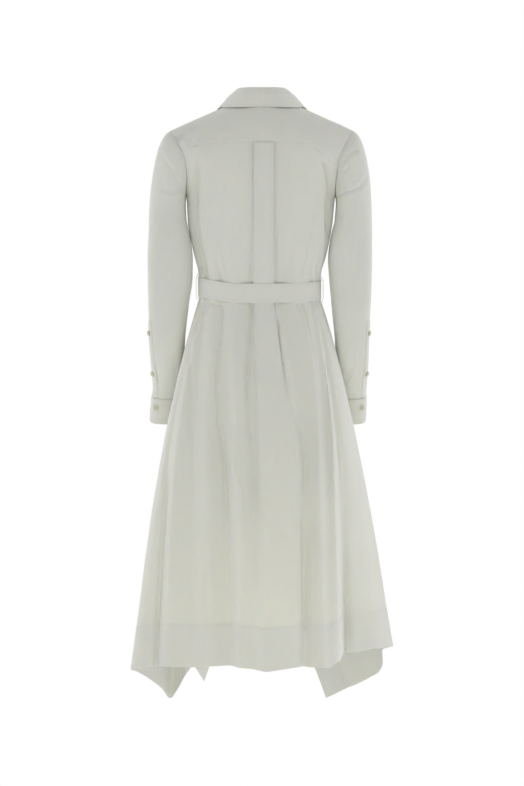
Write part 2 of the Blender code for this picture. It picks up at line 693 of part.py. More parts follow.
def belt_line(share, face, lift):
    """Points of the belt's middle round the waist."""
    at_waist = waist_point(share, np.ones(np.shape(share)), face)
    small = 0.002
    ahead = waist_point(np.minimum(share + small, 1), np.ones(np.shape(share)), face)
    behind = waist_point(np.maximum(share - small, -1), np.ones(np.shape(share)), face)
    along = (ahead - behind) * (1, 1, 0)
    out = unit(np.stack([along[..., 1], -along[..., 0], 0 * along[..., 0]], axis=-1)) * -face
    at_waist[..., 2] += WAIST - BELT_DROP + BELT_LEAN * ramp(50, 120, at_waist[..., 0])
    return at_waist + out * np.asarray(lift)[..., None]


def round_share(angle):
    """Share and face of a place round the waist: 0 is the centre back, 90 degrees the left seam."""
    power = 2 / BOXINESS
    sin = np.sin(angle)
    return np.sign(sin) * np.abs(sin) ** power, np.where(np.cos(angle) >= 0, 1, -1)


def belt_grid(columns=72):
    """The belt from its inner end, under the buckle, round the back to its free end."""
    angle = np.radians(np.linspace(-196, 212, columns))
    share, face = round_share(angle)
    x = across(share, 120.0)
    over_pleat = 3.1 * np.exp(-(((x + 5) / 42) ** 4)) * (face > 0)
    over_fronts = 1.9 * np.exp(-((x / 44) ** 4)) * (face < 0)
    lift = CLOTH / 2 + BELT_GAP + FIRM / 2 + over_pleat + over_fronts
    lift = lift + (FIRM + LAY_GAP + 0.2) * ramp(120, 160, np.degrees(angle))
    middle = np.array([belt_line(s, f, l) for s, f, l in zip(share, face, lift)])
    half = np.array((0, 0, BELT_HEIGHT / 2))
    return np.array([middle + half, middle - half])


def loop_grid(left):
    """A belt loop: a narrow strip sewn to the dress above and below the belt."""
    share = 0.9995 if left else -0.9995
    reach = BELT_HEIGHT / 2
    clear = FIRM + 2 * LAY_GAP + CLOTH
    high_end, low_end = (0.7, 1.5) if left else (0.4, 2.6)
    stations = table(
        "offset lift",
        (reach + LOOP_REACH, high_end),
        (reach + 3.5, high_end / 2),
        (reach + 1.2, clear * 0.6),
        (reach - 2.5, clear),
        (0, clear + 0.3),
        (-reach + 2.5, clear),
        (-reach - 1.2, clear * 0.6 + 0.8),
        (-reach - 3.5, 1.6),
        (-reach - LOOP_REACH, low_end),
    )
    rest = CLOTH / 2 + LAY_GAP + CLOTH / 2
    rows = []
    for offset, lift in zip(stations["offset"], stations["lift"]):
        base = belt_line(np.array(share), 1, np.array(rest + lift + 0.4))
        side = np.array((0, LOOP_WIDTH / 2, 0))
        rows.append([base + side + (0, 0, offset), base - side + (0, 0, offset)])
    return np.array(rows)


# ---------------------------------------------------------------- solids


def grid_normals(points, ring, out, around):
    """Vertex normals that halve the folds. around holds the rows and columns past the edges."""
    if ring:
        wide = np.concatenate([points[:, -1:], points, points[:, :1]], axis=1)
    else:
        first = around["before"][:, None] if "before" in around else 2 * points[:, :1] - points[:, 1:2]
        last = around["after"][:, None] if "after" in around else 2 * points[:, -1:] - points[:, -2:-1]
        wide = np.concatenate([first, points, last], axis=1)
    south = np.diff(points, axis=0)
    above = points[0] - around["above"] if "above" in around else south[0]
    below = around["below"] - points[-1] if "below" in around else south[-1]
    south = np.concatenate([above[None], south, below[None]])
    south = unit(south[1:]) + unit(south[:-1])
    sides = [unit(np.cross(wide[:, i : i + points.shape[1]] - points, south)) * (i - 1) for i in (0, 2)]
    normal = unit(sides[0] + sides[1])
    slant = np.maximum((normal * sides[0]).sum(axis=-1, keepdims=True), 1 / MOST_MITRE)
    return normal / slant * out


def trim(points, top=0.0, bottom=0.0, first=0.0, last=0.0):
    """Draws the grid's edges in along the cloth, to leave the seams' gaps."""
    points = points.copy()
    for edge, inner, amount in ((0, 1, top), (-1, -2, bottom)):
        points[edge] += unit(points[inner] - points[edge]) * amount
    for edge, inner, amount in ((0, 1, first), (-1, -2, last)):
        points[:, edge] += unit(points[:, inner] - points[:, edge]) * amount
    return points


def wall(name, points, thickness, out, material, ring=False, **around):
    """One closed cloth wall round a grid of mid points."""
    rows, columns = points.shape[:2]
    normals = grid_normals(points, ring, out, around)
    sides = [points + normals * thickness / 2, points - normals * thickness / 2]
    mesh = bpy.data.meshes.new(name)
    obj = bpy.data.objects.new(name, mesh)
    build = bmesh.new()
    layers = [[[build.verts.new(p * MM) for p in row] for row in side] for side in sides]

    def face(a, b, c, d):
        build.faces.new((a, b, c))
        build.faces.new((a, c, d))

    steps = range(columns if ring else columns - 1)
    for i in range(rows - 1):
        for j in steps:
            k = (j + 1) % columns
            for layer in layers:
                face(layer[i][j], layer[i][k], layer[i + 1][k], layer[i + 1][j])
    outer, inner = layers
    for i in (0, rows - 1):
        for j in steps:
            k = (j + 1) % columns
            face(outer[i][j], outer[i][k], inner[i][k], inner[i][j])
    if not ring:
        for j in (0, columns - 1):
            for i in range(rows - 1):
                face(outer[i][j], outer[i + 1][j], inner[i + 1][j], inner[i][j])
    bmesh.ops.recalc_face_normals(build, faces=build.faces)
    build.to_mesh(mesh)
    build.free()
    finish(obj, material)
    return obj


def finish(obj, material):
    obj.data.materials.append(material)
    obj.data.shade_smooth()
    obj.data.set_sharp_from_angle(angle=math.radians(40))
    bpy.context.scene.collection.objects.link(obj)


def button_mesh():
    """A turned button with a rim, standing on its own back at z = 0."""
    r, h = BUTTON_RADIUS, BUTTON_THICKNESS
    profile = ((0, 0), (r * 0.9, 0), (r, h * 0.5), (r * 0.9, h), (r * 0.6, h * 0.7), (0, h * 0.7))
    build = bmesh.new()
    edge = [build.verts.new((x * MM, 0, z * MM)) for x, z in profile]
    for a, b in zip(edge, edge[1:]):
        build.edges.new((a, b))
    bmesh.ops.spin(
        build,
        geom=build.verts[:] + build.edges[:],
        cent=(0, 0, 0),
        axis=(0, 0, 1),
        angle=2 * math.pi,
        steps=BUTTON_SIDES,
        use_merge=True,
        use_duplicate=False,
    )
    bmesh.ops.remove_doubles(build, verts=build.verts, dist=1e-6)
    bmesh.ops.recalc_face_normals(build, faces=build.faces)
    mesh = bpy.data.meshes.new("button")
    build.to_mesh(mesh)
    build.free()
    return mesh


def place_button(name, mesh, point, normal, gap, material):
    """Seats a button a little off the cloth's outer face."""
    obj = bpy.data.objects.new(name, mesh)
    normal = Vector(normal).normalized()
    obj.location = (Vector(point) + normal * gap) * MM
    obj.rotation_euler = normal.to_track_quat("Z", "Y").to_euler()
    if not mesh.materials:
        mesh.materials.append(material)
        mesh.shade_smooth()
        mesh.set_sharp_from_angle(angle=math.radians(40))
    bpy.context.scene.collection.objects.link(obj)


def buckle(material):
    """A plain frame round the belt at the centre front."""
    middle = belt_line(np.array(0.0), -1, np.array(0.0))
    front = middle[1] - BUCKLE_STAND
    outer = (BUCKLE_WIDTH / 2, BELT_HEIGHT / 2 + 2.0 + BUCKLE_BAR)
    inner = (BUCKLE_WIDTH / 2 - BUCKLE_BAR, BELT_HEIGHT / 2 + 2.0)
    build = bmesh.new()
    loops = []
    for half_width, half_height, y in ((*outer, 1.5), (*outer, -1.5), (*inner, -1.5), (*inner, 1.5)):
        corners = ((1, 1), (-1, 1), (-1, -1), (1, -1))
        loops.append([build.verts.new(Vector((sx * half_width, y, sz * half_height)) * MM) for sx, sz in corners])
    for ring, following in zip(loops, loops[1:] + loops[:1]):
        for i in range(4):
            build.faces.new((ring[i], ring[(i + 1) % 4], following[(i + 1) % 4], following[i]))
    bmesh.ops.recalc_face_normals(build, faces=build.faces)
    bmesh.ops.triangulate(build, faces=build.faces)
    mesh = bpy.data.meshes.new("belt_buckle")
    build.to_mesh(mesh)
    build.free()
    obj = bpy.data.objects.new("belt_buckle", mesh)
    obj.location = (middle[0] * MM, front * MM, middle[2] * MM)
    bevel = obj.modifiers.new("soft edges", "BEVEL")
    bevel.width = 0.0008
    bevel.segments = 1
    finish(obj, material)


# ---------------------------------------------------------------- build


def make_material(name, color, roughness):
    material = bpy.data.materials.new(name)
    material.use_nodes = True
    shader = material.node_tree.nodes["Principled BSDF"]
    shader.inputs["Base Color"].default_value = (*color, 1)
    shader.inputs["Roughness"].default_value = roughness
    shader.inputs["Metallic"].default_value = 0
    return material


def with_borders(make_grid, levels, above, below):
    """A grid, and the rows that would lie past its top and bottom."""
    full = make_grid((above, *levels, below))
    return full[1:-1], {"above": full[0], "below": full[-1]}


def make_panels(cloth):
    """The back, the fronts, their hem bands and their facings. Returns the armhole edges."""
    seam = SEAM_GAP / 2
    fronts = (("left", FRONT_LEFT, 1), ("right", FRONT_RIGHT, -1))
    edges = {}
    parts = (("", BODICE_ROWS + SKIRT_ROWS, -0.05, BAND_ROWS[1], seam), ("_hem_band", BAND_ROWS, SKIRT_ROWS[-2], 3, 0))
    for suffix, levels, above, below, bottom in parts:
        back, back_borders = with_borders(back_grid, levels, above, below)
        grids = {}
        for side, folds, _ in fronts:
            lift = front_lift(side)
            grids[side] = with_borders(lambda rows: panel_grid(folds, -1, FRONT_COLUMNS, rows, lift), levels, above, below)
        around = {"before": grids["left"][0][:, 1], "after": grids["right"][0][:, 1]}
        if suffix:
            back_borders.pop("below")
        wall("back" + suffix, trim(back, seam, bottom, seam, seam), CLOTH, -1, cloth, **around, **back_borders)
        for side, _, out in fronts:
            front, borders = grids[side]
            if suffix:
                borders.pop("below")
            before = back[:, 1] if side == "left" else back[:, -2]
            trimmed = trim(front, seam, bottom, seam, 0)
            wall("front_" + side + suffix, trimmed, CLOTH, out, cloth, before=before, **borders)
        if not edges:
            armhole = BODICE_ROWS.index(1) + 1
            edges["back"] = back[:armhole]
            for side in ("left", "right"):
                edges[side] = grids[side][0][:armhole, 0]
    for side, folds, out in fronts:
        levels = BODICE_ROWS + SKIRT_ROWS + BAND_ROWS[1:]
        facing = panel_grid(folds, -1, FACING_COLUMNS, levels, front_lift(side)[-1] - LAYER)
        wall("front_" + side + "_facing", trim(facing, 4, 1, 0, 1), CLOTH, out, cloth)
    return edges


def make_sleeves(edges, yoke, arm_count, cloth):
    for side, data in (("left", SLEEVE_LEFT), ("right", SLEEVE_RIGHT)):
        left = side == "left"
        loop = armhole_loop(left, yoke, arm_count, edges["back"], edges[side])
        underarm = int(np.argmin(loop[:, 2]))
        out = -1 if left else 1
        wall("sleeve_" + side, sleeve_grid(data, left, loop, underarm), CLOTH, out, cloth, ring=True)
        wall("cuff_" + side, cuff_grid(data, left), FIRM, -out, cloth)
        wall("sleeve_placket_" + side, placket_grid(data, left), CLOTH, out, cloth)


def make_buttons(material):
    mesh = button_mesh()
    gap = CLOTH / 2 + BUTTON_GAP
    front = panel_grid(FRONT_RIGHT, -1, FRONT_COLUMNS, BODICE_ROWS + SKIRT_ROWS, front_lift("right"))
    line = front[:, FRONT_COLUMNS.index(8)]
    for number, drop in enumerate(np.linspace(*FRONT_BUTTON_DROPS, FRONT_BUTTONS), 1):
        i = int(np.searchsorted(-line[:, 2], drop))
        step = line[i] - line[i - 1]
        point = line[i - 1] + step * (drop + line[i - 1, 2]) / -step[2]
        normal = (0, step[2], -step[1])
        place_button(f"front_button_{number}", mesh, point, normal, gap, material)
    stand = stand_grid()[1]
    point, tangent = stand[2], stand[3] - stand[1]
    normal = np.cross(tangent, stand_grid()[2][2] - stand_grid()[0][2])
    normal = normal if normal[1] < 0 else -normal
    place_button("collar_button", mesh, point, normal, FIRM / 2 + 0.5, material)
    for side, data in (("left", SLEEVE_LEFT), ("right", SLEEVE_RIGHT)):
        left = side == "left"
        for number, drop in enumerate(PLACKET_BUTTON_DROPS, 1):
            angle = math.radians(curve(PLACKET["drop"], PLACKET["centre"], drop))
            point, normal = on_sleeve(data, left, angle, drop)
            lift = LAYER + 0.3 + gap + 0.2
            place_button(f"sleeve_button_{side}_{number}", mesh, point, normal, lift, material)
        angle = math.radians(CUFF_OPENING - 2)
        point, normal = on_sleeve(data, left, angle, CUFF_BUTTON_DROP)
        lift = CUFF_EASE + FIRM * 1.5 + LAY_GAP + 0.9
        place_button("cuff_button_" + side, mesh, point, normal, lift, material)


def on_sleeve(data, left, angle, drop):
    """A point of the sleeve's ring and its outward normal."""
    angle = np.array((angle,))
    return sleeve_ring(data, left, angle, drop)[0], sleeve_normal(data, left, angle, drop)[0]


def main():
    for obj in list(bpy.data.objects):
        bpy.data.objects.remove(obj, do_unlink=True)
    cloth = make_material("cotton poplin", (0.8, 0.8, 0.76), 0.85)
    horn = make_material("button", (0.62, 0.56, 0.44), 0.4)

    edges = make_panels(cloth)
    yoke, below, arm_count = yoke_grid()
    wall("yoke", trim(yoke, 0, SEAM_GAP / 2, SEAM_GAP / 2, SEAM_GAP / 2), CLOTH, -1, cloth, below=below)
    make_sleeves(edges, yoke, arm_count, cloth)
    wall("collar_stand", stand_grid(), FIRM, 1, cloth)
    wall("collar", collar_grid(), FIRM, 1, cloth)
    wall("belt", belt_grid(), FIRM, 1, cloth)
    for side in ("left", "right"):
        wall("belt_loop_" + side, loop_grid(side == "left"), CLOTH, 1, cloth)
    buckle(cloth)
    make_buttons(horn)


main()
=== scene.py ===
# %% [markdown]
# A belted shirt dress in white cotton poplin
#
# This lesson dresses a plain model of a shirt dress in real cloth. The frame already holds
# the garment's true form as solid walls. Here each wall is replaced by a thin shell of cloth
# on the same form, with finer folds, sewn edges, stitches and buttons.
#
# All shapes are worked out in millimetres and turned into metres when a mesh is made. The
# front faces -Y and the wearer's left is +X. "Drop" is a distance down from the back of the
# neck, where the origin is.

import json
import math

import bmesh
import bpy
import numpy as np
from mathutils import Matrix, Vector

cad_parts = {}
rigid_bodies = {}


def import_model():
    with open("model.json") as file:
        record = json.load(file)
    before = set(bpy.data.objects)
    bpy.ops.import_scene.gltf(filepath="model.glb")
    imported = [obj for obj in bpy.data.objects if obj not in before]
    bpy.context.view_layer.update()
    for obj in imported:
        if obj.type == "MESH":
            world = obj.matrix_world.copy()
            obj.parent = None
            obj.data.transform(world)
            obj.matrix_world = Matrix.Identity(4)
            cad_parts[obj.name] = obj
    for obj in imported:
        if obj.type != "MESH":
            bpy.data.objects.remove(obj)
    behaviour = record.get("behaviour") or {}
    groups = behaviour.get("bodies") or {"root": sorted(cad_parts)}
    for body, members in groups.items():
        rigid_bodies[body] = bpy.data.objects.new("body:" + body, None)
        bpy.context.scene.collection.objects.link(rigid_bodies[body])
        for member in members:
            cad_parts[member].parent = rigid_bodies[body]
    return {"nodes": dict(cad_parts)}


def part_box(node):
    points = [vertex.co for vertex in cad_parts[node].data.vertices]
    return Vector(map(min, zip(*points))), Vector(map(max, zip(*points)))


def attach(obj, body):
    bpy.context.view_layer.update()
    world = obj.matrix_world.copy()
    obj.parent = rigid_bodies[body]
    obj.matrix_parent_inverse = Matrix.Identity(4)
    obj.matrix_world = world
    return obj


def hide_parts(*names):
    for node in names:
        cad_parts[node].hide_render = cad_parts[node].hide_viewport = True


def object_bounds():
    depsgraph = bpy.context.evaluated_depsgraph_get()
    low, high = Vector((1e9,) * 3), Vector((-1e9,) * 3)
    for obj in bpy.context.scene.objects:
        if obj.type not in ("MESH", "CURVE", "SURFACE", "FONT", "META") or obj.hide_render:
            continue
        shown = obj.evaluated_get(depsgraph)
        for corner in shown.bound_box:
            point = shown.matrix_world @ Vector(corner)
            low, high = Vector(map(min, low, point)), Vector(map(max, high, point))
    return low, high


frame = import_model()
frame_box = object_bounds()
MM = 0.001
print("frame nodes:", len(frame["nodes"]))

# %% [markdown]
# The driving sizes
#
# A shirt dress is drafted from a few measures: where the underarm, waist and hem lie, how
# wide the shoulders are, and how deep the body is. The cloth itself is about a quarter of a
# millimetre thick. Half a millimetre is used for the shell, so that its edges can be seen.

# %% Sizes of the dress
CLOTH = 0.5  # thickness of a shell of single cloth
FIRM = 0.9  # of collar, cuffs and belt, which are two layers and a stiffener
LAYER = 1.5  # from one layer of folded cloth to the next
CAD_CLOTH, CAD_FIRM = 1.0, 1.2  # thickness of the frame's own walls
LAY_GAP = 0.5
UNDERARM = 170.0
WAIST = 376.0
MIDDLE = 730.0  # the front opening ends here
MIDDLE_SHARE = 0.48
HEM_BAND = 0.882  # where the hem band starts, as a share of the skirt
BELT_DROP = 354.5
BELT_HEIGHT = 37.0
BELT_TILT = 12.0
BELT_LEAN = 6.0  # how much higher it lies at the left side
WAIST_DEPTH = 85.0
SHOULDER_TIP_X = 184.0
SHOULDER_TIP_DROP = 38.0
SHOULDER_SLOPE = 0.456
NECK_ROUND = 30.0
ARCH = 100.0
NECK_HALF_WIDTH = 62.0
NECK_BACK_ARC = 78.0
NECK_FRONT_ARC = 164.0
FRONT_SEAM_ARC = 44.0
YOKE_DROP = 73.0
YOKE_SEAM_SAG = 7.0
BOXINESS = 2.3
START_FLARE = 1.4
TUCK_FADE = 80.0
LAP_SLOPE = -0.06


def table(text):
    """Columns by name, from a line of names and lines of numbers. "name" is only a label."""
    names, *rows = [line.split() for line in text.strip().splitlines()]
    wanted = [(i, name) for i, name in enumerate(names) if name != "name"]
    return {name: np.array([float(row[i]) for row in rows]) for i, name in wanted}


BODY = table("""
drop left right back front
-60 215 212 96 84
0 215 210 98 84
40 212 206 103 84
75 196 191 106 91
106 180 175 108 106
136 164 159 107 118
170 151 146 104 124
220 148 141 98 122
262 141 134 92 113
296 133 126 86 98
322 127 118 82 88
334 126.5 117 82 88
400 126.5 117 82 88
""")
ARMHOLE = table("""
drop left right
38 184 182
56 172 171
76 161 161
106 151 151
136 148 147
160 149.5 145
170 151 146
""")
BODICE_FOLDS = table("""
name face start end x_start x_middle x_end depth half_width
back_left 1 80 345 124 135 114 9 8
back_right 1 70 260 -108 -135 -128 8 8
front_left -1 150 345 104 96 84 5 9
front_right -1 150 345 -100 -92 -80 5 9
""")
print("shoulders", 2 * SHOULDER_TIP_X, "mm, belt at", BELT_DROP, "mm below the neck")

# %% [markdown]
# The skirt's ridges and troughs
#
# A gored skirt hangs in flutes that start at the belt and widen to the hem. Simulated cloth
# would find flutes of its own. Here each ridge and trough has to fall where this dress has
# it, so the tables say where each starts at the waist, and where it is half way down and at
# the hem. "Tuck" is how far the gathers draw it in under the belt.

# %% Flutes of the skirt
BACK = table("""
name share x_mid y_mid x_hem y_hem drop_hem tuck
side_seam_left 1 205 0 246 60 1112 0
flute_left 0.975 206 66 253 168 1094 0
flute_back 0.955 196 108 230 194 1088 0
trough_outer 0.94 187 112 205 190 1085 2
ridge_outer 0.925 168 142 182 214 1083 0
trough_left 0.905 137 139 139 211 1085 5
ridge_left 0.78 106 162 95 222 1082 0
trough_inner 0.64 73 147 63 214 1081 5
ridge_inner 0.43 46 178 42 237 1083 0
trough_by_pleat 0.2 14 165 16 241 1085 3
pleat_left 0.124 0 180 -8 249 1089 0
pleat_centre -0.043 -34 184 -40 246 1085 0
pleat_right -0.218 -67 180 -70 232 1082 0
trough_after_pleat -0.29 -83 158 -80 212 1083 3
ridge_right -0.55 -97 165 -96 222 1084 0
ridge_far -0.76 -111 172 -114 226 1084 0
trough_far -0.84 -129 146 -128 214 1086 4
lip -0.89 -141 150 -147 192 1076 0
deep_trough -0.925 -152 104 -166 22 1077 3
beyond_trough -0.95 -166 98 -184 34 1077 0
side_panel -0.975 -188 58 -224 14 1072 0
side_seam_right -1 -204 0 -266 -60 1075 0
""")
FRONT_LEFT = table("""
name share x_mid y_mid x_hem y_hem drop_hem tuck
side_seam_left 1 205 0 246 60 1112 0
side 0.96 196 -45 228 -28 1136 0
turn 0.9 176 -86 206 -100 1165 0
point 0.8 150 -118 190 -152 1193 0
after_point 0.68 120 -126 174 -138 1172 3
trough 0.56 92 -132 156 -124 1140 0
ridge 0.43 60 -151 143 -132 1124 0
facing_edge 0.205 26 -164 137 -160 1133 0
strip 0.03 4 -164 130 -181 1148 0
front_edge -0.154 -18 -164 123 -204 1163 0
""")
FRONT_RIGHT = table("""
name share x_mid y_mid x_hem y_hem drop_hem tuck
side_seam_right -1 -204 0 -266 -60 1075 0
side -0.96 -196 -45 -246 -100 1088 0
turn -0.9 -178 -84 -249 -140 1118 0
ridge -0.8 -152 -114 -243 -180 1142 0
trough -0.68 -124 -124 -228 -196 1154 3
panel -0.56 -98 -140 -211 -203 1164 0
panel_inner -0.43 -68 -151 -196 -208 1172 0
facing_edge -0.205 -24 -164 -176 -213 1181 0
strip -0.02 -2 -164 -155 -217 1192 0
front_edge 0.158 20 -164 -134 -220 1202 0
""")
PLEAT = table("""
closed narrow ramp open layer ramp_layer
9.8 9.7 9.66 9.5 -0.6 0
10.02 9.82 9.78 9.62 -1 0
10.3 9.94 9.88 9.74 -0.9 0
10.56 10.02 9.93 9.82 -0.5 0
10.56 10.02 9.945 9.86 1 0.5
10.3 10.01 9.955 9.89 1 1
10.06 9.99 9.965 9.93 1 1.5
9.97 9.965 9.975 9.97 2 2
10.5 10.5 10.5 10.5 2 2
11 11 11 11 2 2
11.4 11.3 11.5 11.5 2 2
11.8 11.62 12.025 12.03 2 2
11.72 11.6 12.035 12.07 1 1.5
11.6 11.58 12.045 12.11 1 1
11.42 11.55 12.055 12.14 1 0.5
11.42 11.55 12.07 12.18 -0.5 0
11.6 11.62 12.12 12.26 -0.9 0
11.84 11.74 12.22 12.38 -1 0
12.1 11.95 12.34 12.6 -0.6 0
""")
PLEAT_STAGES = table("""
stage drop_left drop_right
0 390 420
1 568 552
2 641 606
3 1050 1000
""")
PLAIN_ENDS = (9, 13)  # the rows where the back's plain cloth meets its pleat
STRIP_START = 6
flutes = [len(folds["share"]) for folds in (BACK, FRONT_LEFT, FRONT_RIGHT)]
print("flutes:", flutes[0], "behind,", flutes[1] + flutes[2], "in front")

# %% [markdown]
# Curves
#
# A smooth curve through a few measured values is the drafter's curved ruler. A spline that
# overshoots would put bumps between the knots, so the tangents here are the harmonic mean
# of the slopes beside each knot, and zero where the values turn.

# %% Curve helpers


def hermite(t, start, end, leave, arrive):
    """A cubic from start to end with the given directions at its ends."""
    early = (1 + 2 * t) * (1 - t) ** 2 * start + t * (1 - t) ** 2 * leave
    return early + t * t * (3 - 2 * t) * end + t * t * (t - 1) * arrive


def curve(knots, values, at):
    """A smooth curve through the values that doesn't overshoot them between the knots."""
    knots = np.asarray(knots, float)
    values = np.asarray(values, float)
    at = np.clip(at, knots[0], knots[-1])
    steps = np.diff(knots)
    slopes = np.diff(values) / steps
    agree = slopes[:-1] * slopes[1:] > 0
    total = np.where(agree, slopes[:-1] + slopes[1:], 1)
    inner = np.where(agree, 2 * slopes[:-1] * slopes[1:] / total, 0)
    tangents = np.concatenate([slopes[:1], inner, slopes[-1:]])
    i = np.clip(np.searchsorted(knots, at, side="right") - 1, 0, len(knots) - 2)
    t = (at - knots[i]) / steps[i]
    return hermite(t, values[i], values[i + 1], steps[i] * tangents[i], steps[i] * tangents[i + 1])


def read(columns, name, at):
    """A table's column on a smooth curve, at places of the table's first column."""
    return curve(next(iter(columns.values())), columns[name], at)


def by_row(columns, name, row):
    """A table's column on a smooth curve, at rows counted from 0."""
    return curve(np.arange(len(columns[name])), columns[name], row)


def ramp(low, high, at):
    """0 below low, 1 above high and smooth between them."""
    t = np.clip((at - low) / (high - low), 0, 1)
    return t * t * (3 - 2 * t)


def mix(low, high, t):
    return low + (high - low) * t


def unit(vectors):
    return vectors / np.maximum(np.linalg.norm(vectors, axis=-1, keepdims=True), 1e-9)


def finer(values, pieces):
    """The values with each step between them cut into that many equal pieces."""
    places = np.linspace(0, len(values) - 1, (len(values) - 1) * pieces + 1)
    return np.interp(places, np.arange(len(values)), values)


def travelled(points, axis=0):
    """Distance along the points from the first one."""
    steps = np.linalg.norm(np.diff(points, axis=axis), axis=-1)
    return np.concatenate([0 * steps.take([0], axis), np.cumsum(steps, axis=axis)], axis=axis)


def at_places(places, travel, points):
    """Points of a line at distances along it."""
    return np.stack([np.interp(places, travel, points[:, axis]) for axis in range(3)], axis=-1)


def by_side(data, drop, left):
    """A half width at a drop, of the left side where left is true."""
    return np.where(left, read(data, "left", drop), read(data, "right", drop))


# %% [markdown]
# The body of the dress
#
# Above the waist the cloth follows a soft box: flat across the back and front, round at the
# sides, and arched over the shoulders. A mannequin could be scanned for this. A formula is
# shorter and has no wearer in it: the plan is a superellipse, and the shoulder is an arc.

# %% Bodice surface


def crest(x):
    """Height of the shoulder line."""
    return SHOULDER_SLOPE * (SHOULDER_TIP_X - np.hypot(x, NECK_ROUND)) - SHOULDER_TIP_DROP


def body_depth(x, drop, back):
    """How far the body's surface is behind or before the side seams."""
    half = by_side(BODY, drop, x >= 0)
    depth = np.where(back, read(BODY, "back", drop), read(BODY, "front", drop))
    return depth * np.clip(1 - (np.abs(x) / half) ** BOXINESS, 0, 1) ** (1 / BOXINESS)


def shell(x, arc):
    """A point of the upper body: arc is measured from the shoulder line, positive behind it."""
    reach = np.abs(arc)
    turn = np.minimum(reach / ARCH, math.pi / 2)
    z = crest(x) - ARCH * (1 - np.cos(turn)) - np.maximum(reach - ARCH * math.pi / 2, 0)
    y = np.sign(arc) * body_depth(x, -z, arc > 0) * np.sin(turn)
    return np.stack([x, y, z], axis=-1)


def arc_to(x, drop):
    """The arc from the shoulder line down to a drop."""
    fall = crest(x) + drop
    over = ARCH * np.arccos(np.clip(1 - fall / ARCH, -1, 1))
    return np.where(fall < ARCH, over, ARCH * math.pi / 2 + fall - ARCH)


def across(share, edge):
    """Place across the cloth: the middle keeps its width and the sides follow the edge."""
    waist = np.where(share >= 0, BODY["left"][-1], BODY["right"][-1])
    return share * waist + share**3 * (edge - waist)


def yoke_seam_arc(x):
    return arc_to(x, YOKE_DROP + YOKE_SEAM_SAG * (x / SHOULDER_TIP_X) ** 2)


def neckline_arc(x):
    """Arc of the front neckline, and of the yoke's front seam outside it."""
    inside = np.clip(1 - (x / NECK_HALF_WIDTH) ** 2, 0, 1)
    return np.maximum(FRONT_SEAM_ARC, NECK_FRONT_ARC * np.sqrt(inside))


def beside_armhole(share, fall, face):
    """A point between the panel's top, at fall 0, and the underarm's level, at fall 1."""
    top_arc = yoke_seam_arc if face > 0 else neckline_arc
    drop = np.full(np.shape(share), 110.0)
    for _ in range(20):
        x = across(share, by_side(ARMHOLE, drop, share >= 0))
        top = top_arc(x)
        arc = top + (arc_to(x, UNDERARM) - top) * fall
        drop = (drop - shell(x, face * arc)[..., 2]) / 2
    return shell(x, face * arc)


def waist_point(share, fall, face):
    """A point between the underarm's level and the waist."""
    left = share >= 0
    at_waist = across(share, by_side(BODY, WAIST, left))
    tilt = BELT_TILT * face * body_depth(at_waist, WAIST, face > 0) / WAIST_DEPTH
    drop = mix(UNDERARM, WAIST + tilt, fall)
    x = across(share, by_side(BODY, drop, left))
    return np.stack([x, face * body_depth(x, drop, face > 0), -drop], axis=-1)


print("the back neckline is", round(float(-shell(0.0, NECK_BACK_ARC)[2])), "mm down")

# %% [markdown]
# The skirt
#
# Each line down the skirt runs through three points: the waist, the middle and the hem. It
# leaves the belt a little faster than a straight line would, as gathered cloth springs out.

# %% Skirt surface


def skirt_line(start, middle, end, start_drop, end_drop, drop, lapped=0.0):
    """One coordinate down the skirt, through the waist, the middle and the hem."""
    high, low = MIDDLE - start_drop, end_drop - MIDDLE
    upper, lower = (middle - start) / high, (end - middle) / low
    same_way = upper * lower > 0
    at_middle = np.where(same_way, 2 * upper * lower / np.where(same_way, upper + lower, 1), 0)
    at_middle = mix(at_middle, LAP_SLOPE, lapped)
    high_t = np.clip((drop - start_drop) / high, 0, 1)
    low_t = np.clip((drop - MIDDLE) / low, 0, 1)
    above = hermite(high_t, start, middle, START_FLARE * upper * high, at_middle * high)
    return np.where(drop < MIDDLE, above, hermite(low_t, middle, end, at_middle * low, lower * low))


def skirt_point(folds, row, fall, face):
    """A point of the skirt: row counts along the table of folds, fall is 1 at the hem."""
    value = {name: by_row(folds, name, row) for name in folds}
    waist = waist_point(value["share"], np.ones(np.shape(row)), face)
    start_drop, end_drop = -waist[..., 2], value["drop_hem"]
    to_middle = mix(start_drop, MIDDLE, fall / MIDDLE_SHARE)
    to_hem = mix(MIDDLE, end_drop, (fall - MIDDLE_SHARE) / (1 - MIDDLE_SHARE))
    drop = np.where(fall < MIDDLE_SHARE, to_middle, to_hem)
    lapped = ramp(STRIP_START, STRIP_START + 1, row) if face < 0 else 0.0
    x = skirt_line(waist[..., 0], value["x_mid"], value["x_hem"], start_drop, end_drop, drop)
    y = skirt_line(waist[..., 1], value["y_mid"], value["y_hem"], start_drop, end_drop, drop, lapped)
    return np.stack([x, y, -drop], axis=-1)


def panel_point(folds, face, row, level):
    """A point of a whole panel before its soft folds: level is 0 to 3 down the panel."""
    share = by_row(folds, "share", row)
    high = beside_armhole(share, np.minimum(level, 1), face)
    low = waist_point(share, np.clip(level - 1, 0, 1), face)
    skirt = skirt_point(folds, row, np.clip(level - 2, 0, 1), face)
    level = level[..., None]
    return np.where(level < 1, high, np.where(level < 2, low, skirt))


def panel_normal(folds, face, row, level):
    """Unit normals of a panel, pointing out of the dress."""
    most, small = len(folds["share"]) - 1, 0.02

    def beside(rows, levels):
        return panel_point(folds, face, np.clip(row + rows, 0, most), np.clip(level + levels, 0, 3))

    normal = unit(np.cross(beside(small, 0) - beside(-small, 0), beside(0, small) - beside(0, -small)))
    return normal * (-1 if (face > 0) == (folds["share"][0] > 0) else 1)


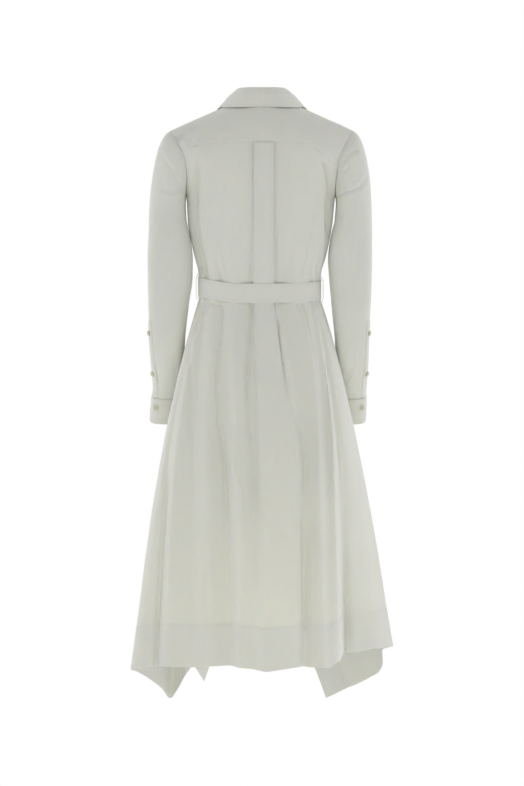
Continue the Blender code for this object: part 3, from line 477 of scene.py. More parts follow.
def soft_folds(folds, face, row, points):
    """How far the troughs of the bodice and the tucks at the belt push the cloth in."""
    x, drop = points[..., 0], -points[..., 2]
    depth = by_row(folds, "tuck", row) * np.exp(-(((drop - WAIST) / TUCK_FADE) ** 2))
    for fold in [dict(zip(BODICE_FOLDS, values)) for values in zip(*BODICE_FOLDS.values())]:
        if fold["face"] != face:
            continue
        knots = (fold["start"], (fold["start"] + fold["end"]) / 2, fold["end"])
        centre = curve(knots, (fold["x_start"], fold["x_middle"], fold["x_end"]), drop)
        fade = ramp(0, 60, drop - fold["start"]) * ramp(0, 40, fold["end"] - drop)
        if face > 0:
            fade = fade * ramp(0, 1, np.minimum(row, len(folds["share"]) - 1 - row))
        depth = depth + fold["depth"] * fade * np.exp(-(((x - centre) / fold["half_width"]) ** 2))
    return depth


print("lines down the skirt pass the middle at", MIDDLE, "mm")

# %% [markdown]
# Creases
#
# Pressed cotton keeps sharp little folds where it is gathered, bent or packed. Each one here
# is a line drawn on the cloth, seen from one side. A row of the text holds its height,
# its half width, the lengths over which it fades in and out, and then its points as x and
# drop. A negative height is a trough and a positive one is a ridge. Real creases are uneven,
# so no two have the same length or depth. Where the cloth turns away from that side they fade.

# %% Crease lines
FACES = {"back": (0, 1, 1), "front": (0, -1, 1), "left": (1, 1, 0), "right": (1, -1, 0)}


def drawn(face, text):
    """Creases from lines of text. A line with # in it is a remark."""
    creases = []
    for line in text.strip().splitlines():
        if "#" not in line:
            height, width, fade_in, fade_out, *places = map(float, line.split())
            creases.append((face, height, width, fade_in, fade_out, np.reshape(places, (-1, 2))))
    return creases


def distance_to_line(places, line):
    """Distance to a smooth line, and the share of its length where the nearest point is."""
    knots = np.arange(len(line))
    fine = np.linspace(0, len(line) - 1, 4 * (len(line) - 1) + 1)
    path = np.stack([curve(knots, line[:, 0], fine), curve(knots, line[:, 1], fine)], axis=-1)
    lengths = travelled(path)
    best = np.full(places.shape[:-1], 1e9)
    along = np.zeros(places.shape[:-1])
    for start, end, before, after in zip(path, path[1:], lengths, lengths[1:]):
        step = end - start
        t = np.clip(((places - start) @ step) / max(step @ step, 1e-9), 0, 1)
        away = np.linalg.norm(places - start - t[..., None] * step, axis=-1)
        nearer = away < best
        best = np.where(nearer, away, best)
        along = np.where(nearer, mix(before, after, t), along)
    return best, along, lengths[-1]


def pressed(points, normals, creases):
    """Height of all the creases at each point."""
    height = np.zeros(points.shape[:-1])
    for face, value, width, fade_in, fade_out, line in creases:
        axis, sign, normal_axis = FACES[face]
        seen = ramp(0.1, 0.4, sign * normals[..., normal_axis])
        places = np.stack([points[..., axis], -points[..., 2]], axis=-1)
        low, high = line.min(0) - 4 * width, line.max(0) + 4 * width
        near = np.all((places > low) & (places < high), axis=-1) & (seen > 0)
        if not near.any():
            continue
        away, along, length = distance_to_line(places[near], line)
        fade = ramp(0, max(fade_in, 1e-3), along) * ramp(0, max(fade_out, 1e-3), length - along)
        height[near] += value * fade * seen[near] * np.exp(-((away / width) ** 2))
    return height


def soft_noise(points, size, stretch, seed):
    """Smooth unevenness between -1 and 1: size across and stretch times that along Z."""
    random = np.random.RandomState(seed)
    lattice = random.uniform(-1, 1, (24, 24, 24))
    place = points / (size, size, size * stretch) + random.uniform(0, 20, 3)
    cell = np.floor(place).astype(int)
    t = place - cell
    t = t * t * (3 - 2 * t)
    total = 0
    for corner in np.ndindex(2, 2, 2):
        weight = np.prod(np.abs(1 - np.array(corner) - t), axis=-1)
        total = total + weight * lattice[tuple(np.moveaxis((cell + corner) % 24, -1, 0))]
    return total


BODY_CREASES = [
    *drawn("back", """
# the long valleys behind the arms, and the ridges beside them
-3.6 2.8 20 20  121 100  126 114  133 138  137 172  133 196  128 245  118 305  114 332
2 5 40 40  112 112  122 150  124 205  121 240
2.4 3.2 30 8  122 235  114 275  107 308  106 332
-2.4 2.5 10 30  -98 77  -112 85  -127 97  -138 109  -141 125
-3.8 2.8 14 50  -114 104  -128 120  -132 135  -134 162  -134 214  -131 262
2 3.4 20 30  -104 92  -120 112  -126 150  -127 190
2.4 3.4 30 8  -124 194  -122 235  -120 275  -116 308  -115 332
1.4 2.6 10 10  118 77  126 79  140 85  160 94
# gathers above the belt
2.4 2.8 30 8  92 261  84 284  79.5 308  75 332
-3.2 2.8 40 0  93 285  86 324  82.6 345
2.2 2.8 30 8  -99.7 228  -95.5 261  -91.6 279  -85.4 308  -79 335
1.6 2.2 20 4  -91.6 303  -97 342
1.6 2.2 20 4  -101.8 303  -107 342
-1.6 2.2 20 0  -96 300  -102 345
-1.4 2.2 30 0  -86 300  -88 345
-1.4 2.2 20 0  -110 300  -112 345
-1 3 8 8  -103.8 202  -103.8 224
# the centre strip's soft crease, and the cloth drawn in beside the strip
-0.6 3.4 10 40  -3 76  -3 200  -3.5 345
-2.8 3 60 0  20 230  20 300  21 345
-2.8 3 60 0  -26 230  -26 300  -27 345
# falls from the belt
-4 3.2 0 40  118 382  124 413  130 430  137 470
-4 5 40 120  136 460  141.7 492  141.7 521  139.7 552  138.6 600  137 700  136 760
2.6 3.4 0 40  99 388  116 413  124 438  122 454
-1.4 2.4 0 20  84.7 384  95 397  103 413
1.4 2.6 10 20  101 426  116 459
-5.6 3.4 0 260  80.6 386  80.6 438  84 469  87 500  89 533  87 565  84 610  73 710  69 825  69 960
1.8 5 40 60  95 450  98 530  96 620
1.8 4 40 60  71 450  75 530  74 600
3.6 5 60 30  78 560  73 620  52 710  41 768  40 844  43 939  46 1075
-7 4.4 0 60  19 384  20.5 449  24.4 499  28 556  24 610
-2.4 2.6 20 20  14 490  13 530  13 585
-3 3.4 40 110  26 590  15 700  15 757  18 850
1.8 4 40 60  32 420  37 500  38 580  30 680
-4.4 3.4 20 20  -30 400  -33 449  -37 490  -43 521  -50 556
-3.4 4.4 30 40  -54 585  -73 634  -81 701  -84 760
1.4 5 40 60  -45 600  -66 660  -74 740
-2.8 2.4 0 14  -70 386  -71 405
2.2 2.8 0 30  -75 388  -81 407  -87.6 430  -94 455
-3.8 3 0 40  -81 386  -87.6 413  -94 442  -100 469  -104 492  -106 521
-1.2 5 15 15  -108 548  -117 588
2.6 3.4 0 30  -106 388  -117 417  -125 446  -131 476  -137 500  -141.5 521
-4 3.4 40 100  -124 480  -127 521  -128 562  -130 603  -131 700  -131 805
-1.6 4 15 15  -149 545  -153 590
1.8 3 30 40  -109 640  -110 700  -110 770
-4.4 3.6 60 0  -143 640  -146 768  -149 882  -153 977  -156 1075
3.4 4.2 60 0  -151 640  -154 768  -158 882  -162 977  -166 1072
3 4 60 40  -69 760  -69 860  -69 930  -70 1010
-3.4 4 60 60  -78 760  -78 860  -79 960  -79 1040
-2.4 7 40 60  -94 770  -96 820  -97 880
-4.4 3.8 60 0  184 690  189 816  194 882  198 958  202 1033  204 1085
3.4 5 60 0  192 700  197 816  203 882  208 958  212 1033  214 1085
-2.4 7 90 60  108 820  107 900  104 1000
2 7 90 30  120 780  118 900  116 1040
2 8 60 30  20 860  12 960  6 1060
"""),
    *drawn("front", """
# the fronts, in the same manner
-2.4 3.2 30 0  70 260  66 300  64 345
1.8 3.6 30 0  80 250  76 300  74 345
-2 2.8 30 0  96 285  93 320  91 345
-2.2 3 30 0  -64 270  -61 310  -60 345
1.8 3.6 30 0  -76 255  -72 300  -70 345
-2 2.8 20 0  -90 290  -87 320  -85 345
-1.4 6 30 30  120 120  96 150  70 190
-1.4 6 30 30  -118 128  -92 160  -66 205
-3 3.4 0 160  72 372  84 440  92 540  96 680
2.2 4.4 0 160  60 372  70 440  78 540  82 680
-2.6 3.2 0 120  98 372  118 440  134 540  142 640
-2.4 3 0 90  44 370  50 430  54 500
-3 3.4 0 160  -70 372  -82 440  -92 540  -98 690
2.2 4.4 0 160  -58 372  -68 440  -76 540  -80 680
-2.6 3.2 0 120  -96 372  -116 440  -132 540  -140 640
-2.4 3 0 90  -46 370  -50 430  -54 510
-2.4 5 80 60  -110 720  -140 850  -170 1000
2 5 80 60  -96 720  -124 850  -152 1000
-2.4 5 80 60  96 720  120 850  146 1000
2 5 80 60  110 720  134 850  162 1000
"""),
    *drawn("left", """
-2.4 4 0 120  18 376  26 450  34 560
2 4.6 0 120  30 376  40 450  50 560
-2 5 60 100  -20 520  -24 640  -20 800
"""),
    *drawn("right", """
-2.4 4 0 120  16 376  24 450  30 560
2 4.6 0 120  28 376  38 450  46 560
-2 5 60 100  -22 520  -28 640  -26 800
"""),
]
print("creases drawn on the body:", len(BODY_CREASES))

# %% [markdown]
# From lines to panels
#
# A panel is a grid of points: one column for each line down the cloth and one row for each
# level. Every point is moved along the panel's own normal by the soft folds, the creases and
# a little unevenness. The layers of the box pleat are moved together, so they never meet.

# %% Panel grids
UNEVEN = 0.7  # mm of soft unevenness over the whole dress


def belt_level(points):
    """Drop of the belt's middle line at points of the waist."""
    x, y = points[..., 0], points[..., 1]
    return BELT_DROP - BELT_LEAN * ramp(50, 120, x) + BELT_TILT * y / WAIST_DEPTH


def panel_grid(folds, face, rows, levels, lift=0.0):
    """Mid points of a panel's cloth, one row for each level, moved out by lift."""
    row, level = np.broadcast_arrays(rows, np.asarray(levels, float)[:, None])
    points = panel_point(folds, face, row, level)
    normals = panel_normal(folds, face, row, level)
    moved = lift - soft_folds(folds, face, row, points)
    moved = moved + pressed(points, normals, BODY_CREASES)
    moved = moved + UNEVEN * soft_noise(points, 34, 2.6, 3) * ramp(0, 0.4, level)
    from_belt = np.abs(-points[..., 2] - belt_level(points)) - BELT_HEIGHT / 2
    most = lift + np.where(from_belt < 12, 2.5 * ramp(0, 12, from_belt), 99)
    return points + normals * np.minimum(moved, most)[..., None]


def pleat_state(drop):
    """Rows and lifts of the pleat's columns at a drop, between its four stages."""
    half = len(PLEAT["closed"]) // 2
    names = ("drop_left", "drop_right")
    sides = [np.interp(drop, PLEAT_STAGES[name], PLEAT_STAGES["stage"]) for name in names]
    stages = np.array([sides[0]] * (half + 1) + [sides[1]] * half)
    rows = np.array([PLEAT[name] for name in ("closed", "narrow", "ramp", "open")])
    layers = np.array([PLEAT["layer"], PLEAT["layer"], PLEAT["ramp_layer"], PLEAT["layer"] * 0])
    before = np.minimum(stages.astype(int), 2)
    columns = np.arange(len(stages))
    t = stages - before
    return [mix(kind[before, columns], kind[before + 1, columns], t) for kind in (rows, layers * LAYER)]


PLAIN_LEFT = np.concatenate([np.linspace(0, 2, 9)[:-1], np.linspace(2, PLAIN_ENDS[0], 78)])
PLAIN_RIGHT = np.concatenate([np.linspace(PLAIN_ENDS[1], 19, 64), np.linspace(19, 21, 9)[1:]])
FRONT_COLUMNS = np.concatenate([np.linspace(0, 6, 61)[:-1], np.linspace(6, 9, 31)])
BODICE_ROWS = 30  # down to the underarm
BODICE_LEVELS = np.concatenate([np.linspace(0, 1, BODICE_ROWS)[:-1], np.linspace(1, 1.86, 44)])
SKIRT_LEVELS = np.concatenate([np.linspace(1.87, 2.12, 32), np.linspace(2.12, 2 + HEM_BAND, 104)[1:]])
BAND_LEVELS = np.linspace(2 + HEM_BAND, 3, 18)
PANEL_LEVELS = np.concatenate([BODICE_LEVELS, SKIRT_LEVELS])


def back_grid(levels):
    """The back with its pleat: closed under the belt and above it, let go in the skirt."""
    rows, lifts = [], []
    for drop in -panel_point(BACK, 1, np.full(levels.shape, 11.0), levels)[:, 2]:
        row, lift = pleat_state(drop)
        row = finer([PLAIN_ENDS[0], *row, PLAIN_ENDS[1]], 2)
        lift = finer([0, *lift, 0], 2)
        rows.append(np.concatenate([PLAIN_LEFT[:-1], row, PLAIN_RIGHT[1:]]))
        lifts.append(np.concatenate([PLAIN_LEFT[:-1] * 0, lift, PLAIN_RIGHT[1:] * 0]))
    return panel_grid(BACK, 1, np.array(rows), levels, np.array(lifts))


def front_lift(side):
    """The right front lies over the left one where they lap."""
    lapped = np.clip(FRONT_COLUMNS - STRIP_START, 0, 1)
    return lapped * LAYER * (-1 if side == "left" else 1)


back_points = back_grid(PANEL_LEVELS)
print("back:", back_points.shape[0], "levels by", back_points.shape[1], "columns")

# %% [markdown]
# Turning a grid into cloth
#
# Blender's Solidify modifier would thicken a sheet, but it crosses itself at a sharp pleat.
# The normals are worked out here instead, as the line that halves each fold, and the two
# faces are joined round the edge. The cloth also gets a map in real metres, so that the
# weave keeps its pitch and runs with the grain of each piece.

# %% The cloth maker
MOST_MITRE = 1.3
pieces = {}


def grid_normals(points, ring=False):
    """Vertex normals that halve the folds."""
    if ring:
        wide = np.concatenate([points[:, -1:], points, points[:, :1]], axis=1)
    else:
        first = 2 * points[:, :1] - points[:, 1:2]
        last = 2 * points[:, -1:] - points[:, -2:-1]
        wide = np.concatenate([first, points, last], axis=1)
    south = np.diff(points, axis=0)
    south = np.concatenate([south[:1], south, south[-1:]])
    south = unit(south[1:]) + unit(south[:-1])
    sides = [unit(np.cross(wide[:, i : i + points.shape[1]] - points, south)) * (i - 1) for i in (0, 2)]
    normal = unit(sides[0] + sides[1])
    slant = np.maximum((normal * sides[0]).sum(axis=-1, keepdims=True), 1 / MOST_MITRE)
    return normal / slant


def grain_map(points):
    """Distances across and along the cloth, in metres, for the weave."""
    u, v = travelled(points, 1), travelled(points)
    return np.stack([u - u.mean(axis=1, keepdims=True), v.mean(axis=1, keepdims=True) + 0 * v], axis=-1) * MM


def quad_mesh(name, points, faces, grain):
    """A mesh of four-sided faces with its grain map."""
    mesh = bpy.data.meshes.new(name)
    mesh.from_pydata((points.reshape(-1, 3) * MM).tolist(), [], faces.tolist())
    layer = mesh.uv_layers.new(name="grain")
    layer.data.foreach_set("uv", grain.reshape(-1, 2)[faces.reshape(-1)].reshape(-1).astype(np.float32))
    return mesh


def linked(name, data):
    obj = bpy.data.objects.new(name, data)
    bpy.context.scene.collection.objects.link(obj)
    return obj


def add_piece(mesh, material, smooth=True):
    """An object of the mesh, with its faces turned outwards, that rides on the dress."""
    work = bmesh.new()
    work.from_mesh(mesh)
    bmesh.ops.recalc_face_normals(work, faces=work.faces)
    work.to_mesh(mesh)
    work.free()
    if smooth:
        mesh.shade_smooth()
    mesh.materials.append(material)
    obj = linked(mesh.name, mesh)
    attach(obj, "root")
    return obj


def cloth(key, points, thickness, material, ring=False):
    """One closed shell of cloth round a grid of mid points, in place of the frame's piece."""
    rows, columns = points.shape[:2]
    half = grid_normals(points, ring) * thickness / 2
    index = np.arange(2 * rows * columns).reshape(2, rows, columns)
    ahead = np.roll(index, -1, axis=2) if ring else index[:, :, 1:]
    here = index if ring else index[:, :, :-1]
    faces = []
    for side in (0, 1):
        quads = np.stack([here[side, :-1], ahead[side, :-1], ahead[side, 1:], here[side, 1:]], axis=-1)
        faces.append(quads.reshape(-1, 4)[:, :: 1 if side else -1])
    for row in (0, -1):
        rim = np.stack([here[0, row], ahead[0, row], ahead[1, row], here[1, row]], axis=-1)
        faces.append(rim[:, :: -1 if row else 1])
    for column in () if ring else (0, -1):
        edge = index[:, :, column]
        rim = np.stack([edge[0, :-1], edge[0, 1:], edge[1, 1:], edge[1, :-1]], axis=-1)
        faces.append(rim[:, :: 1 if column else -1])
    layers = np.stack([points + half, points - half])
    mesh = quad_mesh(key + "_cloth", layers, np.concatenate(faces), np.stack([grain_map(points)] * 2))
    pieces[key] = add_piece(mesh, material)
    mesh.set_sharp_from_angle(angle=math.radians(50))
    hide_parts(key)


print("a fold is mitred up to", MOST_MITRE, "times the cloth's thickness")

# %% [markdown]
# Materials
#
# Poplin is a plain weave with fine ribs across it: about 45 warp threads to the centimetre
# and half as many thicker weft threads. Two crossed waves on the grain map make the threads,
# and a fine noise makes them uneven. Larger noise gives the slight clouding of washed
# cotton and its small crumples. The cloth is matt, with a faint nap that catches side light.
# The buttons are tan and a little translucent, like horn.

# %% Materials


def node(tree, kind, inputs, **settings):
    """A new node. Each of its named or numbered inputs gets a link or a value."""
    made = tree.nodes.new(kind)
    for name, value in settings.items():
        setattr(made, name, value)
    plug(tree, made, inputs)
    return made


def plug(tree, made, inputs):
    for name, value in inputs.items():
        if isinstance(value, bpy.types.NodeSocket):
            tree.links.new(value, made.inputs[name])
        else:
            made.inputs[name].default_value = value


def calculated(tree, operation, first, second, **settings):
    """Two numbers put together by a Math node."""
    return node(tree, "ShaderNodeMath", {0: first, 1: second}, operation=operation, **settings).outputs[0]


def threads(tree, per_metre, direction):
    """Waves for one set of threads, on the grain map in millimetres."""
    uv = node(tree, "ShaderNodeUVMap", {}, uv_map="grain").outputs["UV"]
    place = node(tree, "ShaderNodeMapping", {"Vector": uv, "Scale": (1000, 1000, 1)}).outputs["Vector"]
    inputs = {"Vector": place, "Scale": per_metre / 1000 * math.pi / 10}
    inputs.update({"Distortion": 1.2, "Detail": 1.0, "Detail Scale": 0.6})
    wave = node(tree, "ShaderNodeTexWave", inputs, wave_type="BANDS", bands_direction=direction)
    return wave.outputs["Fac"]


def clouding(tree, size, detail, low, high, stretch=1.0):
    """Soft noise of a size in metres, brought to the range from low to high."""
    place = node(tree, "ShaderNodeTexCoord", {}).outputs["Object"]
    scale = (1 / size, 1 / size, 1 / (size * stretch))
    place = node(tree, "ShaderNodeMapping", {"Vector": place, "Scale": scale}).outputs["Vector"]
    inputs = {"Vector": place, "Scale": 1.0, "Detail": detail}
    noise = node(tree, "ShaderNodeTexNoise", inputs).outputs["Fac"]
    inputs = {"Value": noise, "From Min": 0.3, "From Max": 0.7, "To Min": low, "To Max": high}
    return node(tree, "ShaderNodeMapRange", inputs).outputs["Result"]


def bumped(tree, height, distance, strength, **below):
    inputs = {"Height": height, "Distance": distance, "Strength": strength, **below}
    return node(tree, "ShaderNodeBump", inputs).outputs["Normal"]


def blended(tree, **inputs):
    """A Mix node for colours: its 6 and 7 inputs are the colours."""
    settings = {"blend_type": "MULTIPLY"} if "multiplied" in inputs else {}
    second = inputs.get("multiplied", inputs.get("second"))
    sockets = {"Factor": inputs.get("share", 1.0), 6: inputs["first"], 7: second}
    return node(tree, "ShaderNodeMix", sockets, data_type="RGBA", **settings).outputs[2]


def material(name, look):
    """A material whose shader gets the inputs that look returns for its tree."""
    made = bpy.data.materials.new(name)
    made.use_nodes = True
    plug(made.node_tree, made.node_tree.nodes["Principled BSDF"], look(made.node_tree))
    return made


def poplin(crumple):
    def look(tree):
        cloud = clouding(tree, 0.09, 3.0, 0.965, 1.0, 1.6)
        slub = clouding(tree, 0.004, 2.0, 0.985, 1.0, 3.0)
        shade = calculated(tree, "MULTIPLY", cloud, slub)
        weave = calculated(tree, "MAXIMUM", threads(tree, 4500, "X"), threads(tree, 2400, "Y"))
        crumples = bumped(tree, clouding(tree, 0.022, 4.0, 0.0, 1.0, 2.2), 0.0012, crumple)
        return {
            "Base Color": blended(tree, first=COTTON_COLOR, multiplied=shade),
            "Roughness": clouding(tree, 0.03, 2.0, 0.78, 0.9),
            "Sheen Weight": 0.12,
            "Sheen Roughness": 0.5,
            "Specular IOR Level": 0.25,
            "Subsurface Weight": 1.0,
            "Subsurface Radius": (1.0, 0.9, 0.7),
            "Subsurface Scale": 0.0006,
            "Normal": bumped(tree, weave, 0.00008, 0.35, Normal=crumples),
        }

    return look


def horn(tree):
    share = clouding(tree, 0.004, 3.0, 0.0, 1.0)
    return {
        "Base Color": blended(tree, share=share, first=HORN_DARK, second=HORN_LIGHT),
        "Roughness": clouding(tree, 0.001, 2.0, 0.25, 0.4),
        "Coat Weight": 0.3,
        "Coat Roughness": 0.15,
    }


def spun(tree):
    return {
        "Base Color": blended(tree, first=THREAD_COLOR, multiplied=clouding(tree, 0.0008, 2.0, 0.88, 1.0)),
        "Roughness": clouding(tree, 0.0006, 2.0, 0.5, 0.7),
        "Sheen Weight": 0.2,
    }


COTTON_COLOR = (0.80, 0.805, 0.74, 1)
THREAD_COLOR = (0.74, 0.745, 0.70, 1)
HORN_DARK, HORN_LIGHT = (0.62, 0.61, 0.42, 1), (0.70, 0.69, 0.50, 1)
cotton = material("white poplin", poplin(0.35))
firm_cotton = material("interlined poplin", poplin(0.18))
button_material = material("horn", horn)
thread = material("sewing thread", spun)
print("materials:", [m.name for m in (cotton, firm_cotton, button_material, thread)])

# %% [markdown]
# Back and fronts
#
# The back is cut in one piece from the yoke seam to the hem, and its box pleat is closed
# down to the waist and let go below it. The fronts lap, right over left, and open below the
# last button. Each hem band is a doubled strip of its own, sewn on with a stitched seam, so
# it is a separate piece here too and stands a little proud.

# %% Panels and hem bands
SEAM_DIP = 0.2  # mm that the cloth is drawn in at a seam
SEAM_WIDTH = 3.0
BAND_PROUD = 0.5


def drawn_in(points, last=True):
    """Draws the cloth in along its top, its first side and, where last is true, its last side."""
    normals = grid_normals(points)
    over = travelled(points, 1)
    away = np.minimum(travelled(points), np.minimum(over, over[:, -1:] - over) if last else over)
    level = points - points.mean(axis=(0, 1)) * (0, 0, 1)
    dip = SEAM_DIP * np.sign((normals * level).sum(axis=-1).mean()) * np.exp(-((away / SEAM_WIDTH) ** 2))
    return points - normals * dip[..., None]


front_points, band_points = {}, {"back": back_grid(BAND_LEVELS)}
FRONTS = {"left": FRONT_LEFT, "right": FRONT_RIGHT}
for side, folds in FRONTS.items():
    front_points[side] = panel_grid(folds, -1, FRONT_COLUMNS, PANEL_LEVELS, front_lift(side))
    band_points["front_" + side] = panel_grid(folds, -1, FRONT_COLUMNS, BAND_LEVELS, front_lift(side))

cloth("back", drawn_in(back_points), CLOTH, cotton)
for side in FRONTS:
    cloth("front_" + side, drawn_in(front_points[side], last=False), CLOTH, cotton)
for name, points in band_points.items():
    cloth(name + "_hem_band", drawn_in(points, last=name == "back"), CLOTH + BAND_PROUD, cotton)
print("panels:", sorted(pieces))

# %% [markdown]
# Facings
#
# The front edges are doubled by a strip of cloth inside, which carries the buttons and the
# buttonholes. It shows where the fronts fall open. It is its own thin shell, one layer in.

# %% Facings
FACING_START = 7.0
FACING_INSET = 5.0  # mm below the neckline
for side, folds in FRONTS.items():
    columns = np.linspace(FACING_START, 9, 21)
    levels = np.concatenate([PANEL_LEVELS, BAND_LEVELS[1:]])
    facing = panel_grid(folds, -1, columns, levels, front_lift(side)[-1] - LAYER)
    facing[0] += unit(facing[1] - facing[0]) * FACING_INSET * 0.6
    cloth(f"front_{side}_facing", facing, CLOTH, cotton)
print("facings:", len(FRONTS))

# %% [markdown]
# Yoke
#
# The yoke is one doubled piece over both shoulders. Its rings run from the neckline out to
# the armholes, the back seam and the two front seams, so the cloth keeps one smooth face.

# %% Yoke
ARM_ARCS = finer((-FRONT_SEAM_ARC, -22.0, 0.0, 24.0, 48.0), 6)
YOKE_RINGS = 40
YOKE_OVER = 0.3  # mm that the yoke lies over the pieces sewn to it
YOKE_CREASES = [
    *drawn("back", """
0.9 2.2 30 30  124 71  60 67  0 66.5  -60 67  -100 69  -150 77
-1.8 2.8 4 8  130 48  139 62  144 74  147 90
1.6 2.8 4 8  124 60  131 72  134 84
-0.6 7 10 20  -110 30  -112 50  -108 70
"""),
]


def armhole_point(arc, left):
    """A point of the armhole seam by its arc from the shoulder line."""
    drop = np.full(np.shape(arc), 60.0)
    for _ in range(24):
        x = by_side(ARMHOLE, drop, left) * np.where(left, 1, -1)
        drop = (drop - shell(x, arc)[..., 2]) / 2
    return x


def neck_place(angle):
    """(x, arc) of the neckline at an angle from the centre back."""
    reach = np.where(np.cos(angle) > 0, NECK_BACK_ARC, NECK_FRONT_ARC)
    return NECK_HALF_WIDTH * np.sin(angle), reach * np.cos(angle)


def yoke_grid():
    """Rings from the neckline out to the armholes and the back seam."""
    seam = beside_armhole(np.linspace(1, -1, 121), np.zeros(121), 1)
    arms = [armhole_point(ARM_ARCS, left) for left in (True, False)]
    x = np.concatenate([arms[0], seam[:, 0], arms[1][::-1]])
    arc = np.concatenate([ARM_ARCS, yoke_seam_arc(seam[:, 0]), ARM_ARCS[::-1]])
    front = math.acos(-FRONT_SEAM_ARC / NECK_FRONT_ARC)
    travel = travelled(np.stack([x, arc], axis=-1))
    neck_x, neck_arc = neck_place(front - 2 * front * travel / travel[-1])
    out = np.linspace(0, 1, YOKE_RINGS)[:, None]
    return shell(mix(neck_x, x, out), mix(neck_arc, arc, out))


yoke_base = yoke_grid()
yoke_normals = grid_normals(yoke_base)
yoke_normals = yoke_normals * np.sign(yoke_normals[..., 2].mean())
moved = pressed(yoke_base, yoke_normals, YOKE_CREASES) + 0.6 * UNEVEN * soft_noise(yoke_base, 30, 1.5, 5)
moved = moved * ramp(0, 6, np.arange(YOKE_RINGS))[:, None]
yoke_points = yoke_base + yoke_normals * moved[..., None]
cloth("yoke", yoke_points + yoke_normals * YOKE_OVER, CLOTH, cotton)
print("yoke rings:", YOKE_RINGS)

# %% [markdown]
# Sleeves
#
# A shirt sleeve is one tube, set into the armhole with its seam under the arm. The rings
# start on the armhole's own points and turn down into the sleeve's plan, so sleeve and body
# share one edge. The wrist is carried forward, as an arm hangs. The creases fan from the
# underarm and cross the inside of the elbow.

# %% Sleeve surface
SLEEVES = {
    "left": table("""
drop outer inner y_centre y_half tilt
216 225 151 2 56 0
256 227 142.5 0 56 0
296 228 138.5 -2 54 0
336 228 139.5 -6 51 0
376 228 146 -12 49 0.02
416 227 151 -22 47 0.05
456 226 155 -36 45 0.1
496 224 157 -54 43 0.16
536 222 158 -76 42 0.2
566 224 163 -94 41 0.22
616 229 168 -112 42 0.22
"""),
    "right": table("""
drop outer inner y_centre y_half tilt
216 219 146 2 56 0
256 220 136.5 0 56 0
296 220 132.5 -2 54 0
336 219 135 -6 51 0
376 218 139 -12 49 0.02
416 216 143 -22 47 0.05
456 214 147 -36 45 0.1
496 214 149 -54 43 0.16
536 213 152 -78 42 0.2
566 212 155 -96 41 0.22
616 211 158 -114 42 0.22
"""),
}
CAD_BOXINESS = 2.2  # of the frame's sleeves
SLEEVE_BOXINESS = table("""
drop power
216 2.8
300 3.1
420 3
500 2.8
550 2.3
620 2.2
""")
SLEEVE_TOP_START = 110.0
SLEEVE_UNDER_START = 30.0
SLEEVE_HEAD_END = 120.0
SLEEVE_HEAD = np.linspace(0, 1, 34)[:-1]
SLEEVE_DROPS = np.linspace(216, 571, 96)
ROUND_THE_ARM = 150
UNDERARM_GAP = 1.0
SEAM_GAP = 0.15
TOP_LEAN, UNDER_LEAN = (0.91, 0, -0.41), (0.35, 0, -0.94)
SLEEVE_CREASES = {
    "left": [
        *drawn("back", """
1.6 2.6 8 10  197.7 78  171.7 121  157 147
-2.2 2.6 8 14  197.7 95  175 121  164 136
-2.2 4.4 6 6  171 134  161 149  157 161
-2.2 2.6 6 0  206.6 152.6  190.7 162.3  172 164  156 163
1.8 4.4 8 0  204 167  186 174  156 176
-1.4 6 20 10  158 190  172 215  178 250
-1.4 7 30 30  206 240  196 290  190 330
1.6 6 20 20  160 260  172 300  180 350
-1 5 20 20  150 330  168 350  190 362
1 6 20 20  148 350  168 372  196 384
-1 5 10 20  150 400  170 418  186 446
1.2 7 20 20  197 450  195 500  194 552
-1.4 2.6 10 10  211 486  211 515  211 545
-1 4 20 0  176 480  174 530  174 566
"""),
        *drawn("front", """
-3 6 10 10  206 110  184 128  160 150
-2.6 6 10 10  210 150  186 164  156 176
-2.2 6 20 20  150 340  172 352  204 356
2 6 20 20  150 358  174 372  206 378
-2 5 20 20  152 400  176 408  208 404
-1.8 4 20 0  186 490  188 530  190 566
"""),
        *drawn("left", """
-1.6 7 30 30  20 220  6 280  -2 340
-1.8 5 20 20  -40 350  -20 366  10 372
-1.6 5 20 0  -50 480  -70 520  -84 560
"""),
    ],
    "right": [
        *drawn("back", """
-2.2 2.4 4 10  -192 79.5  -180 85  -168 93.5  -161 107  -154 121
1.6 2.6 4 10  -196 90  -178 98  -166 112  -160 124
-2.2 2.2 4 6  -173 115  -159 129
-1.8 4 8 8  -157 137  -161 155  -158 172
-2.4 2.4 6 0  -209 130  -197 151  -180 161  -159 169  -148 174
1.6 3 6 0  -209 140  -195 161  -178 171  -158 179
1.2 3 6 0  -204 122  -190 142  -176 152
-1.4 6 20 10  -152 186  -166 212  -172 250
-1.4 7 30 30  -200 230  -190 280  -184 330
1.6 6 20 20  -152 250  -164 300  -172 350
-1 5 20 20  -146 340  -164 358  -186 368
1 6 20 20  -146 358  -164 376  -190 388
-1.2 5 10 20  -148 430  -160 460  -166 500
1.4 3 6 6  -190 507  -181 528  -171 548
-1 4 20 0  -196 470  -194 520  -190 566
"""),
        *drawn("front", """
-3 6 10 10  -204 112  -182 130  -156 150
-2.6 6 10 10  -206 150  -182 166  -152 178
-2.2 6 20 20  -146 336  -168 350  -200 352
2 6 20 20  -146 354  -170 370  -200 374
-2 5 20 20  -148 402  -172 410  -200 406
-1.8 4 20 0  -176 490  -178 530  -180 566
"""),
        *drawn("right", """
-1.6 7 30 30  22 230  8 290  0 350
-1.8 5 20 20  -42 346  -20 360  8 366
-1.6 5 20 0  -52 480  -70 520  -86 560
"""),
    ],
}


